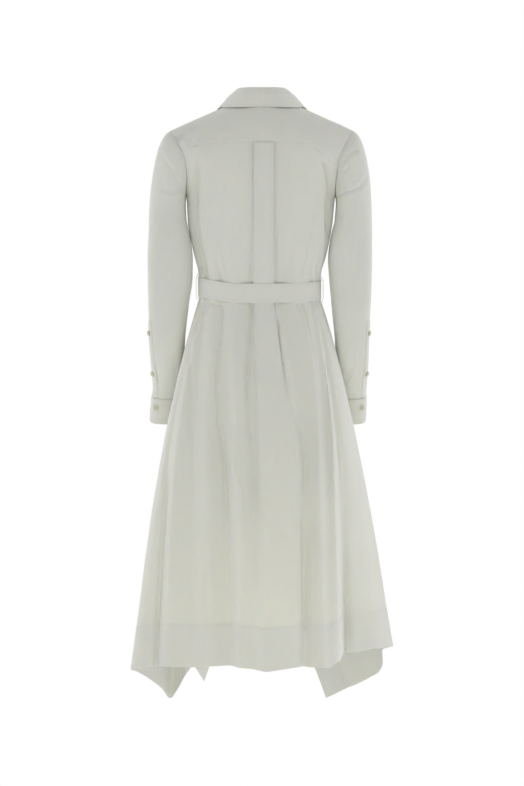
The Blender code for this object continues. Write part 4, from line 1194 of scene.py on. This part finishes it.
def sleeve_ring(data, left, angle, drop, grow=0.0, boxiness=None):
    """Points round the arm: angle 0 is outside, and it grows towards the back."""
    value = {name: read(data, name, drop) for name in data}
    centre = (value["outer"] + value["inner"]) / 2
    half = (value["outer"] - value["inner"]) / 2
    cos, sin = np.cos(angle), np.sin(angle)
    power = 2 / (boxiness or read(SLEEVE_BOXINESS, "power", drop))
    x = centre + (half + grow) * np.sign(cos) * np.abs(cos) ** power
    y = (value["y_half"] + grow) * np.sign(sin) * np.abs(sin) ** power
    z = -drop - value["tilt"] * y
    return np.stack([np.where(left, x, -x), y + value["y_centre"], z + 0 * x], axis=-1)


def sleeve_normal(data, left, angle, drop):
    """Unit normals pointing out of the sleeve."""
    east = sleeve_ring(data, left, angle + 0.05, drop) - sleeve_ring(data, left, angle - 0.05, drop)
    south = sleeve_ring(data, left, angle, drop + 3) - sleeve_ring(data, left, angle, drop - 3)
    return unit(np.cross(south, east)) * (1 if left else -1)


def armhole_loop(left):
    """The armhole's points from its top, round behind the arm and up before it."""
    arm = (yoke_points[-1] if left else yoke_points[-1, ::-1])[: len(ARM_ARCS)]
    behind = back_points[:BODICE_ROWS, 0 if left else -1]
    before = front_points["left" if left else "right"][:BODICE_ROWS, 0]
    top = int(np.argmin(np.abs(ARM_ARCS)))
    return np.concatenate([arm[top:], behind[1:], before[::-1][1:], arm[1:top]])


def even_loop(loop, underarm, count):
    """The loop's points spaced evenly on each side of the underarm."""
    closed = np.concatenate([loop, loop[:1]])
    travel = travelled(closed)
    half = count // 2 + 1
    after = np.linspace(travel[underarm], travel[-1], half)[1:-1]
    return at_places([*np.linspace(0, travel[underarm], half), *after], travel, closed), half - 1


def ring_angles(loop, underarm):
    """Angles round the arm for the loop's points: 0 at the top, 180 degrees at the underarm."""
    travel = travelled(np.concatenate([loop, loop[:1]]))
    behind, place = travel[underarm], travel[:-1]
    return math.pi * np.where(place <= behind, place / behind, 1 + (place - behind) / (travel[-1] - behind))


def sleeve_grid(side):
    data, left = SLEEVES[side], side == "left"
    out = np.array((1 if left else -1, 1, 1))
    loop = armhole_loop(left)
    loop, underarm = even_loop(loop, int(np.argmin(loop[:, 2])), ROUND_THE_ARM)
    angle = ring_angles(loop, underarm)
    top = ((1 + np.cos(angle)) / 2)[:, None]
    lean = out * TOP_LEAN * top + out * UNDER_LEAN * (1 - top)
    away = unit(lean + np.sin(angle)[:, None] * np.array((0, 0.8, 0)))
    start = loop + away * SEAM_GAP + UNDERARM_GAP * (1 - top) ** 2 * (out * (1, 0, -0.3))
    first = sleeve_ring(data, left, angle, data["drop"][0])
    leave = away * mix(SLEEVE_UNDER_START, SLEEVE_TOP_START, top)
    chord = np.linalg.norm(first - start, axis=1, keepdims=True)
    arrive = np.array((0, 0, -1.0)) * np.minimum(SLEEVE_HEAD_END, chord)
    head = [hermite(t, start, first, leave, arrive) for t in SLEEVE_HEAD]
    base = np.array(head + [sleeve_ring(data, left, angle, drop) for drop in SLEEVE_DROPS])
    normals = grid_normals(base, True)
    normals = normals * np.sign((normals[40:] * (base[40:] - base[40:].mean(axis=1, keepdims=True))).sum())
    calm = mix(1, 0.3, ramp(390, 430, -base[..., 2]))
    moved = pressed(base, normals, SLEEVE_CREASES[side]) + UNEVEN * soft_noise(base, 26, 2.0, 11) * calm
    rows = np.arange(len(base))[:, None]
    left_over = len(base) - 1 - rows
    moved = moved * ramp(0, 3, rows) - 0.15 * np.exp(-((rows / 1.6) ** 2))
    moved = moved * ramp(0, 6, left_over) - 0.6 * (1 - ramp(0, 1.3, left_over))
    inside = ramp(0.2, 0.8, -out[0] * normals[..., 0]) * (rows < 60)
    return base + normals * np.where(moved > 0, moved * (1 - inside), moved)[..., None]


for side in SLEEVES:
    cloth("sleeve_" + side, sleeve_grid(side), CLOTH, cotton, ring=True)
print("sleeve:", len(SLEEVE_HEAD) + len(SLEEVE_DROPS), "rings of", ROUND_THE_ARM)

# %% [markdown]
# Cuffs and sleeve plackets
#
# The cuff is a doubled, interlined band that laps over its own start and takes one button.
# Above it a narrow strip is sewn beside the sleeve's opening, with two small buttons. Both
# lie on the sleeve's own surface, moved out, so they follow it wherever it bends.

# %% Cuffs and plackets
CUFF = (566.0, 616.0)
CUFF_EASE = 1.3
CUFF_OPENING = 61.0
CUFF_LAP = 24.0
PLACKET = table("""
drop centre
416 25
456 27
496 31
536 37
563.5 40
""")
PLACKET_HALF_ANGLE = 0.30
LAID_DOWN = 0.7  # how far a firm edge stands off the cloth it is sewn to


def cuff_grid(data, left):
    """The cuff runs once round and laps over its own start."""
    turn = np.linspace(0, 2 * math.pi + math.radians(CUFF_LAP), 120)
    angle = math.radians(CUFF_OPENING) - turn
    lap = (CAD_FIRM + LAY_GAP) * ramp(math.pi * 1.1, math.pi * 1.9, turn)
    drops = np.linspace(*CUFF, 26)
    ease = mix(LAID_DOWN, CUFF_EASE, ramp(0, 5, drops - CUFF[0]))
    base = np.array([sleeve_ring(data, left, angle, drop, grow + lap) for drop, grow in zip(drops, ease)])
    normals = grid_normals(base)
    normals = normals * np.sign((normals * (base - base.mean(axis=1, keepdims=True))).sum())
    down = np.linspace(0, 1, 26)[:, None]
    bow = 0.5 * np.sin(np.pi * down) + 0.5 * soft_noise(base, 22, 1.0, 17) * ramp(0, 0.2, down)
    return base + normals * bow[..., None]


def placket_grid(data, left):
    """A strip that lies on the sleeve from its points, moved out."""
    rings = []
    aside = np.linspace(-1, 1, 15)
    for row, drop in enumerate(np.linspace(PLACKET["drop"][0], PLACKET["drop"][-1], 50)):
        angle = np.radians(read(PLACKET, "centre", drop)) + PLACKET_HALF_ANGLE * aside
        lift = mix(LAID_DOWN, LAYER + 0.3, (1 - aside**4) * ramp(0, 4, row))
        normal = sleeve_normal(data, left, angle, drop)
        rings.append(sleeve_ring(data, left, angle, drop) + normal * lift[:, None])
    return np.array(rings)


trim_points = {}
for side, data in SLEEVES.items():
    for name, grid in (("cuff_", cuff_grid), ("sleeve_placket_", placket_grid)):
        trim_points[name + side] = grid(data, side == "left")
        cloth(name + side, trim_points[name + side], FIRM, firm_cotton)
print("cuffs and plackets:", len(trim_points))

# %% [markdown]
# Collar
#
# A shirt collar is a stand, which rises from the neckline and buttons at the throat, and a
# collar that folds over it and falls to its points. Both follow one loop round the neck: a
# table gives the fold and the lower edge at some angles, and the rows between them bulge as
# folded cloth does.

# %% Collar and stand
COLLAR = table("""
angle fold_x fold_y fold_z edge_x edge_y edge_z
0 0 63 38 0 73.2 1.5
28 25.5 55 39 36 68.2 1.5
58 43 30 40.5 69 40.6 4
90 51 0 39 84 1 9
105 53.5 -28 29 91 -24 6
118 49 -48 11 91 -46 -9
130 40 -60 -6 87 -68 -30
145 29 -70 -22 78 -88 -56
160 17 -77 -35 66 -101 -82
180 0 -82 -46 48 -114 -108
""")
COLLAR_END = 177.0
STAND_SHARE = 0.80
STAND_START = 2.2
STAND_LAP = 12.0
COLLAR_LOW, COLLAR_ROLL = 0.4, 3.2  # from the fold's line in to the stand and out to the fall


def neckline(angle):
    x, arc = neck_place(np.abs(angle))
    return shell(np.sign(angle) * x, arc)


def collar_loop(part, angle):
    x, y, z = [read(COLLAR, part + axis, np.abs(np.degrees(angle))) for axis in ("_x", "_y", "_z")]
    return np.stack([np.sign(angle) * x, y, z], axis=-1)


def outward(loop):
    """Level directions pointing out of a loop round the neck."""
    along = np.gradient(loop, axis=0)
    return unit(np.stack([-along[:, 1], along[:, 0], 0 * along[:, 0]], axis=-1))


def stand_grid():
    """The collar's stand, from the neckline up, with its ends lapped at the centre front."""
    most = math.radians(180 + STAND_LAP)
    angle = np.linspace(-most, most, 161)
    past = np.abs(angle) > math.pi
    place = np.where(past, np.sign(angle) * (np.abs(angle) - 2 * math.pi), angle)
    base = neckline(place)
    rise = collar_loop("fold", place) - base
    lap = (CAD_FIRM + LAY_GAP) / 2 * ramp(math.radians(140), math.radians(168), np.abs(angle))
    base = base + outward(base) * (-np.sign(angle) * lap)[:, None]
    low, high = base + unit(rise) * STAND_START, base + rise * STAND_SHARE
    return np.array([mix(low, high, t) for t in np.linspace(0, 1, 12)])


def collar_grid():
    """The collar, from the top of its stand over the fold and down to its edge."""
    most = math.radians(COLLAR_END)
    angle = np.linspace(-most, most, 181)
    fold, edge, base = collar_loop("fold", angle), collar_loop("edge", angle), neckline(angle)
    out = outward(fold)
    up = unit(np.cross(out, np.gradient(fold, axis=0)))
    start = base + (fold - base) * (STAND_SHARE + 0.07)
    rows = [mix(start, fold + out * COLLAR_LOW, t) for t in (0, 0.5, 0.9)]
    centre = fold + out * (COLLAR_LOW + COLLAR_ROLL) / 2 - up * 2.0
    for turn in np.linspace(0.1, 0.9, 7) * math.pi:
        rows.append(centre - out * (COLLAR_ROLL - COLLAR_LOW) / 2 * np.cos(turn) + up * 2.2 * np.sin(turn))
    fall_top = fold + out * COLLAR_ROLL - up * 2.5
    for t in np.linspace(0, 1, 26):
        rows.append(mix(fall_top, edge, t) + out * np.interp(t, (0, 0.33, 0.67, 1), (0, 3.0, 2.0, 0)))
    return np.array(rows)


stand_points, collar_points = stand_grid(), collar_grid()
cloth("collar_stand", stand_points, FIRM, firm_cotton)
cloth("collar", collar_points, FIRM, firm_cotton)
print("collar rows:", len(collar_points))

# %% [markdown]
# Belt and loops
#
# The belt is a stiffened strip with its own edge stitching, carried at the side seams by two
# narrow loops, and closed in front by a frame covered in the same cloth. It lies on the
# dress all round, over the pleat behind and over the lapped fronts.

# %% Belt
BELT_GAP = 0.5
BELT_PRESSED = 0.7  # how much closer it lies behind and at the sides
LOOP_WIDTH = 8.0
LOOP_REACH = 8.0
LOOP_SHARE = 0.9995  # almost at the side seam


def belt_line(share, face, lift):
    """Points of the belt's middle round the waist."""
    low, small = np.ones(np.shape(share)), 0.002
    at_waist = waist_point(share, low, face)
    ahead = waist_point(np.minimum(share + small, 1), low, face)
    behind = waist_point(np.maximum(share - small, -1), low, face)
    along = ahead - behind
    out = unit(np.stack([along[..., 1], -along[..., 0], 0 * along[..., 0]], axis=-1)) * -face
    at_waist[..., 2] += WAIST - BELT_DROP + BELT_LEAN * ramp(50, 120, at_waist[..., 0])
    return at_waist + out * np.asarray(lift)[..., None]


def belt_grid():
    """The belt from its inner end, under the buckle, round the back to its free end."""
    degrees = np.linspace(-196, 212, 301)  # 0 is the centre back, 90 the left seam
    sin, cos = np.sin(np.radians(degrees)), np.cos(np.radians(degrees))
    share, face = np.sign(sin) * np.abs(sin) ** (2 / BOXINESS), np.where(cos >= 0, 1, -1)
    x = across(share, 120.0)
    over_pleat = 3.1 * np.exp(-(((x + 5) / 42) ** 4)) * (face > 0)
    over_fronts = 1.9 * np.exp(-((x / 44) ** 4)) * (face < 0)
    lift = CAD_CLOTH / 2 + BELT_GAP + CAD_FIRM / 2 + over_pleat + over_fronts
    lift = lift - BELT_PRESSED * (1 - ramp(100, 130, np.abs(degrees)))
    lift = lift + (CAD_FIRM + LAY_GAP + 0.2) * ramp(120, 160, degrees)
    middle = np.array([belt_line(s, f, l) for s, f, l in zip(share, face, lift)])
    return np.array([middle + (0, 0, offset) for offset in np.linspace(0.5, -0.5, 15) * BELT_HEIGHT])


def loop_grid(left):
    """A belt loop: a narrow strip sewn to the dress above and below the belt."""
    share = np.array(LOOP_SHARE if left else -LOOP_SHARE)
    reach, clear = BELT_HEIGHT / 2, CAD_FIRM + 2 * LAY_GAP + CAD_CLOTH
    high_end, low_end = (0.7, 1.5) if left else (0.4, 2.6)
    beyond = np.array((LOOP_REACH, 3.5, 1.2, -2.5))  # past the belt's edge
    offsets = (*(reach + beyond), 0, *(-reach - beyond[::-1]))
    lifts = (high_end, high_end / 2, clear * 0.6, clear, clear + 0.3, clear, clear * 0.6 + 0.8, 1.6, low_end)
    count = np.arange(len(offsets))
    rows = []
    for place in finer(count, 5):
        lift = CAD_CLOTH + LAY_GAP + curve(count, lifts, place) + 0.4
        base = belt_line(share, 1, lift) + (0, 0, curve(count, offsets, place))
        rows.append([base + (0, aside, 0) for aside in np.linspace(-1, 1, 7) * LOOP_WIDTH / 2])
    return np.array(rows)


belt_points = belt_grid()
cloth("belt", belt_points, FIRM, firm_cotton)
for side in ("left", "right"):
    cloth("belt_loop_" + side, loop_grid(side == "left"), FIRM, firm_cotton)
print("belt", round(float(travelled(belt_points[7])[-1])), "mm long")

# %% [markdown]
# Buckle
#
# The buckle is a frame with round corners, covered in the dress's own cloth. A round bar
# runs along it. A little flatter than round, it looks like cloth stretched over a core.

# %% Buckle
BUCKLE_BAR = 4.0
BUCKLE_CORNER = 3.5
buckle_low, buckle_high = (np.array(corner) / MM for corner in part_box("belt_buckle"))
half = (buckle_high - buckle_low) / 2 - BUCKLE_BAR / 2
quarter, turn = np.divmod(np.arange(36), 9)
angle = (quarter + turn / 8) * math.pi / 2
outs = np.stack([np.cos(angle), 0 * angle, np.sin(angle)], axis=-1)
corners = np.array(((1, 0, 1), (-1, 0, 1), (-1, 0, -1), (1, 0, -1)))[quarter]
line = corners * (half - BUCKLE_CORNER) + outs * BUCKLE_CORNER + (buckle_low + buckle_high) / 2
turns = np.linspace(0, 2 * math.pi, 17)[:-1, None, None]
bar = line + outs * BUCKLE_BAR / 2 * np.cos(turns) + 1.5 * np.sin(turns) * (0, 1, 0)
index = np.arange(bar.size // 3).reshape(bar.shape[:2])
down = np.roll(index, -1, axis=0)
quads = [index, np.roll(index, -1, axis=1), np.roll(down, -1, axis=1), down]
quads = np.stack(quads, axis=-1).reshape(-1, 4)
around = np.stack(np.meshgrid(np.arange(bar.shape[1]) * 2.0, np.arange(len(bar)) * 0.6), axis=-1) * MM
pieces["belt_buckle"] = add_piece(quad_mesh("belt_buckle_frame", bar, quads, around), firm_cotton)
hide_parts("belt_buckle")
print("buckle", np.round(2 * half + BUCKLE_BAR), "mm")

# %% [markdown]
# Buttons
#
# Shirt buttons are turned discs with a rim, a dished middle and four holes, sewn with a
# cross of thread. A spun profile gives the disc, and four round pins cut the holes.

# %% Button shape
BUTTON_RADIUS = 5.6
BUTTON_THICKNESS = 2.2
BUTTON_PROFILE = table("""
radius height
0 0
0.82 0
0.95 0.2
1 0.5
0.97 0.85
0.9 1
0.8 1
0.68 0.78
0.55 0.68
0 0.66
""")
HOLE_RADIUS = 0.75
HOLE_OUT = 1.125


def from_bmesh(name, work):
    mesh = bpy.data.meshes.new(name)
    work.to_mesh(mesh)
    work.free()
    return mesh


def button_mesh():
    """The disc is turned round Z, and its holes are cut."""
    work = bmesh.new()
    radii = BUTTON_PROFILE["radius"] * BUTTON_RADIUS * MM
    heights = BUTTON_PROFILE["height"] * BUTTON_THICKNESS * MM
    line = [work.verts.new((r, 0, z)) for r, z in zip(radii, heights)]
    for ends in zip(line, line[1:]):
        work.edges.new(ends)
    geometry = work.verts[:] + work.edges[:]
    bmesh.ops.spin(work, geom=geometry, cent=(0, 0, 0), axis=(0, 0, 1), angle=2 * math.pi, steps=48)
    bmesh.ops.remove_doubles(work, verts=work.verts, dist=1e-6)
    bmesh.ops.recalc_face_normals(work, faces=work.faces)
    disc = linked("disc", from_bmesh("turned", work))
    work = bmesh.new()
    for x, y in ((1, 1), (1, -1), (-1, 1), (-1, -1)):
        place = Matrix.Translation(Vector((x * HOLE_OUT, y * HOLE_OUT, BUTTON_THICKNESS / 2)) * MM)
        radii = {"radius1": HOLE_RADIUS * MM, "radius2": HOLE_RADIUS * MM}
        bmesh.ops.create_cone(work, cap_ends=True, segments=16, depth=0.01, matrix=place, **radii)
    cutter = linked("holes", from_bmesh("holes", work))
    cut = disc.modifiers.new("holes", "BOOLEAN")
    cut.object, cut.operation = cutter, "DIFFERENCE"
    mesh = bpy.data.meshes.new_from_object(disc.evaluated_get(bpy.context.evaluated_depsgraph_get()))
    for helper in (disc, cutter):
        bpy.data.objects.remove(helper)
    mesh.shade_smooth()
    mesh.set_sharp_from_angle(angle=math.radians(35))
    mesh.materials.clear()
    mesh.materials.append(button_material)
    return mesh


shared_button = button_mesh()
print("button mesh:", len(shared_button.vertices), "points")

# %% [markdown]
# Placing the buttons
#
# Each button sits where the frame has it. Its seat is worked out again from the cloth: the
# point on the strip, sleeve or cuff, and the direction out of it. The thread's cross is two
# flat stitches laid over the holes. A stitch is a four-sided spindle, a little raised.

# %% Buttons in place
FRONT_BUTTON_DROPS = np.linspace(122.0, 752.0, 8)
PLACKET_BUTTON_DROPS = (440.0, 518.0)
CUFF_BUTTON_DROP = 583.0


def spindles(name, starts, ends, outs, radius):
    """A mesh of stitches from starts to ends, raised towards outs."""
    along = ends - starts
    side = unit(np.cross(unit(along), outs))
    offsets = np.stack([side, outs * 0.9, -side, -outs * 0.6], axis=1) * radius
    rings = [(starts + along * share)[:, None] + offsets for share in (0.22, 0.78)]
    points = np.concatenate([starts[:, None], ends[:, None], *rings], axis=1)
    faces = []
    for first in range(0, 10 * len(starts), 10):
        for k in range(4):
            low, low_after = first + 2 + k, first + 2 + (k + 1) % 4
            high, high_after = low + 4, low_after + 4
            faces += [(first, low_after, low), (first + 1, high, high_after)]
            faces.append((low, low_after, high_after, high))
    mesh = bpy.data.meshes.new(name)
    mesh.from_pydata((points.reshape(-1, 3) * MM).tolist(), [], faces)
    return mesh


def seat_button(name, normal, shift=(0, 0, 0)):
    """A button at its node's place, moved by shift and turned to its normal, with its thread."""
    normal = Vector(normal).normalized()
    low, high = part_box(name)
    back = (low + high) / 2 + Vector(shift) * MM - normal * BUTTON_THICKNESS / 2 * MM
    obj = linked(name + "_turned", shared_button)
    obj.matrix_world = Matrix.Translation(back) @ normal.to_track_quat("Z", "Y").to_matrix().to_4x4()
    place = obj.matrix_world.copy()
    bpy.context.view_layer.update()
    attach(obj, "root")
    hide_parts(name)
    top = BUTTON_THICKNESS * 0.74
    ends = [[(x, x * sign, top) for sign in (1, -1)] for x in (-HOLE_OUT, HOLE_OUT)]
    ends = [np.array([place @ (Vector(end) * MM) for end in pair]) / MM for pair in ends]
    cross = spindles(name + "_thread", *ends, np.array([normal] * 2), 0.42)
    add_piece(cross, thread, smooth=False)


front_line = front_points["right"][:, int(np.argmin(np.abs(FRONT_COLUMNS - 8)))]
for number, drop in enumerate(FRONT_BUTTON_DROPS, 1):
    i = int(np.searchsorted(-front_line[:, 2], drop))
    step = front_line[min(i + 3, len(front_line) - 1)] - front_line[max(i - 3, 0)]
    seat_button(f"front_button_{number}", (0, step[2], -step[1]))
normal = np.cross(stand_points[5, 12] - stand_points[5, 4], stand_points[-1, 8] - stand_points[0, 8])
seat_button("collar_button", normal if normal[1] < 0 else -normal)
for side, data in SLEEVES.items():
    left = side == "left"
    for number, drop in enumerate(PLACKET_BUTTON_DROPS, 1):
        where = (data, left, np.radians(read(PLACKET, "centre", [drop])), drop)
        shift = sleeve_ring(*where) - sleeve_ring(*where, boxiness=CAD_BOXINESS)
        seat_button(f"sleeve_button_{side}_{number}", sleeve_normal(*where)[0], shift[0])
    angle = np.radians([CUFF_OPENING - 2])
    seat_button(f"cuff_button_{side}", sleeve_normal(data, left, angle, CUFF_BUTTON_DROP)[0])

# %% [markdown]
# Stitching
#
# The dress is sewn with a fine machine stitch, about four to the centimetre, in thread of
# the cloth's own colour. A texture could draw it, but raised stitches catch the light, so
# each is a small spindle laid along its seam, a little proud of the cloth. All the stitches
# of one seam are one mesh.

# %% Stitch rows
STITCH = 2.4
STITCH_GAP = 0.5
THREAD_RADIUS = 0.2


def at_row(points, place):
    """A line along the grid at a row that may lie between two."""
    low = int(np.clip(np.floor(place), 0, len(points) - 2))
    return mix(points[low], points[low + 1], place - low)


def row_at(points, distance):
    """The grid row at a distance in mm from the first one or, if negative, from the last."""
    travel = travelled(points).mean(axis=1)
    return float(np.interp(distance % travel[-1], travel, np.arange(len(points))))


def seam_lines(points, places, proud, centre=(0, 0), normals=None):
    """Lines along grid rows, on the face away from a vertical axis, each with its normals."""
    if normals is None:
        normals = unit(grid_normals(points))
        normals = normals * np.sign((normals[..., :2] * (points[..., :2] - centre)).sum())
    outs = [at_row(normals, place) for place in places]
    return [(at_row(points, place) + out * proud, out) for place, out in zip(places, outs)]


def stitched(name, lines):
    """Stitches along lines, each a (points, normals) pair in mm."""
    parts = []
    for points, normals in lines:
        travel = travelled(points)
        starts = np.arange(1.0, travel[-1] - STITCH, STITCH + STITCH_GAP)
        ends = [at_places(starts + shift, travel, points) for shift in (0, STITCH)]
        parts.append((*ends, unit(at_places(starts + STITCH / 2, travel, normals))))
    parts = [np.concatenate(part) for part in zip(*parts)]
    add_piece(spindles(name, *parts, THREAD_RADIUS), thread)
    return len(parts[0])


firm, single, band = FIRM / 2, CLOTH / 2, (CLOTH + BAND_PROUD) / 2
seams = {
    "belt": seam_lines(belt_points, [row_at(belt_points, end) for end in (4.2, -4.2)], firm),
    "collar": seam_lines(collar_points, [row_at(collar_points, -4.5)], firm),
}
for side in SLEEVES:
    points = trim_points["cuff_" + side]
    rows = [row_at(points, end) for end in (3.0, -3.0)]
    seams["cuff_" + side] = seam_lines(points, rows, firm, points.mean(axis=(0, 1))[:2])
for side in SLEEVES:
    points = trim_points["sleeve_placket_" + side].transpose(1, 0, 2)
    arm = (190.0 if side == "left" else -190.0, -40.0)
    seams["sleeve_placket_" + side] = seam_lines(points, (1.2, len(points) - 2.2), firm, arm)
lines = seam_lines(yoke_points, [YOKE_RINGS - 1.9], single + YOKE_OVER, normals=yoke_normals)
seams["yoke"] = [[part[len(ARM_ARCS) : -len(ARM_ARCS)] for part in lines[0]]]
for name, points in band_points.items():
    seams[name + "_hem"] = seam_lines(points, [row_at(points, 3.0)], band)
facing_column = int(np.argmin(np.abs(FRONT_COLUMNS - FACING_START)))
for side, points in front_points.items():
    columns = [facing_column] if side == "left" else [facing_column, len(FRONT_COLUMNS) - 2]
    seams["front_" + side] = seam_lines(points.transpose(1, 0, 2), columns, single)
print("stitches:", sum(stitched(name + "_stitches", lines) for name, lines in seams.items()))

# %% [markdown]
# What each piece of cloth was cut to
#
# The flat size of every sheet before it was sewn and hung is listed here, and printed beside
# the area of its shell. The sizes come from the pattern: the widest and longest measure of each
# piece, and the area of its shape.

# %% Cut sizes
CUTS = {
    # piece: (width, length, area, how it is held, what carries it), in metres
    "back": (1.10, 1.02, 0.57, "hung", ["yoke"]),
    "front_left": (0.52, 1.05, 0.285, "hung", ["yoke"]),
    "front_right": (0.52, 1.08, 0.28, "hung", ["yoke"]),
    "back_hem_band": (1.10, 0.10, 0.078, "hung", ["back"]),
    "front_left_hem_band": (0.52, 0.12, 0.034, "hung", ["front_left"]),
    "front_right_hem_band": (0.50, 0.10, 0.027, "hung", ["front_right"]),
    "front_left_facing": (0.07, 1.10, 0.052, "hung", ["front_left"]),
    "front_right_facing": (0.07, 1.12, 0.055, "hung", ["front_right"]),
    "yoke": (0.42, 0.24, 0.05, "draped", ["back"]),
    "sleeve_left": (0.36, 0.54, 0.145, "hung", ["yoke"]),
    "sleeve_right": (0.36, 0.54, 0.142, "hung", ["yoke"]),
    "sleeve_placket_left": (0.026, 0.15, None, "laid", ["sleeve_left"]),
    "sleeve_placket_right": (0.026, 0.15, None, "laid", ["sleeve_right"]),
    "cuff_left": (0.25, 0.052, None, "laid", ["sleeve_left"]),
    "cuff_right": (0.25, 0.052, None, "laid", ["sleeve_right"]),
    "collar_stand": (0.42, 0.028, None, "laid", ["yoke"]),
    "collar": (0.50, 0.075, None, "folded", ["collar_stand"]),
    "belt": (0.86, 0.037, None, "laid", ["back"]),
}
for name, (width, length, area, held, carried_by) in CUTS.items():
    measured = sum(p.area for p in pieces[name].data.polygons) / 2
    print(f"{name}: cut {width} x {length} m, shell {measured:.4f} m2")

# %% [markdown]
# Light and camera
#
# A white garment on a white ground needs gentle light. A white room gives most of it, more
# from some of its walls than from others, and rays that reach the lens see it plain white.
# Broad lights at both sides and low before and behind leave the folds readable. The camera
# looks at the back of the dress from four and a half metres, level with its middle.

# %% Studio
CAMERA_DISTANCE = 4.5
CAMERA_DROP = 0.562
FRAME_HEIGHT_MM = 36.0
FRAME_HEIGHT_SEEN = 786 * 0.002  # metres across the frame's height at the dress
ROOM = (
    # axis, sign, power, strength: behind the camera, the wall beyond the dress, both sides,
    # the floor, the ceiling
    (1, 1, 2.0, 0.24),
    (1, -1, 1.0, 0.86),
    (0, 1, 3.0, 0.36),
    (0, -1, 3.0, 0.36),
    (2, -1, 1.0, 0.06),
    (2, 1, 1.0, 0.06),
)
ROOM_LEAST = 0.36
SIDE_LAMPS = (("side_", 2.6, 0.5), ("side_front_", 2.4, -1.4))
LOW_LAMPS = (("low_back", 3.4, 29), ("low_front", -3.4, 28))


def soft_light(name, place, target, width, height, watts):
    data = bpy.data.lights.new(name, "AREA")
    data.shape, data.energy = "RECTANGLE", watts
    data.size, data.size_y = width, height
    obj = linked(name, data)
    obj.location = place
    obj.rotation_euler = (Vector(target) - Vector(place)).to_track_quat("-Z", "Y").to_euler()


world = bpy.data.worlds.new("studio")
bpy.context.scene.world = world
world.use_nodes = True
tree = world.node_tree
total = ROOM_LEAST
for axis, sign, power, strength in ROOM:
    generated = node(tree, "ShaderNodeTexCoord", {}).outputs["Generated"]
    part = node(tree, "ShaderNodeSeparateXYZ", {0: generated}).outputs[axis]
    part = calculated(tree, "MULTIPLY", part, sign, use_clamp=True)
    part = calculated(tree, "MULTIPLY", calculated(tree, "POWER", part, power), strength)
    total = calculated(tree, "ADD", total, part)
background = tree.nodes["Background"]
plug(tree, background, {"Color": (1, 1, 1, 1), "Strength": total})
white = node(tree, "ShaderNodeBackground", {"Color": (1, 1, 1, 1), "Strength": 1.0})
seen = node(tree, "ShaderNodeLightPath", {}).outputs["Is Camera Ray"]
sky = node(tree, "ShaderNodeMixShader", {"Fac": seen, 1: background.outputs[0], 2: white.outputs[0]})
plug(tree, tree.nodes["World Output"], {"Surface": sky.outputs[0]})
for sign, side in ((1, "left"), (-1, "right")):
    for name, x, y in SIDE_LAMPS:
        soft_light(name + side, (sign * x, y, -0.8), (0, 0, -0.65), 1.2, 2.4, 4)
for name, y, watts in LOW_LAMPS:
    soft_light(name, (0, y, -2.2), (0, 0, -0.9), 2.0, 1.0, watts)

camera = linked("camera", bpy.data.cameras.new("camera"))
camera.data.sensor_fit = "VERTICAL"
camera.data.sensor_height = FRAME_HEIGHT_MM
camera.data.lens = FRAME_HEIGHT_MM * CAMERA_DISTANCE / FRAME_HEIGHT_SEEN
camera.location = (0, CAMERA_DISTANCE, -CAMERA_DROP)
camera.rotation_euler = (math.radians(90), 0, math.radians(180))
bpy.context.scene.camera = camera
bpy.context.scene.view_settings.view_transform = "Standard"
print("camera", CAMERA_DISTANCE, "m behind the dress, lens", round(camera.data.lens, 1), "mm")

# %% [markdown]
# Finish
#
# The size of the dressed part is measured again beside that of the frame, and both are printed.

# %% Finish
visual_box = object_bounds()
for kind, box in (("frame", frame_box), ("visual", visual_box)):
    print(kind, [[round(v, 3) for v in corner] for corner in box])
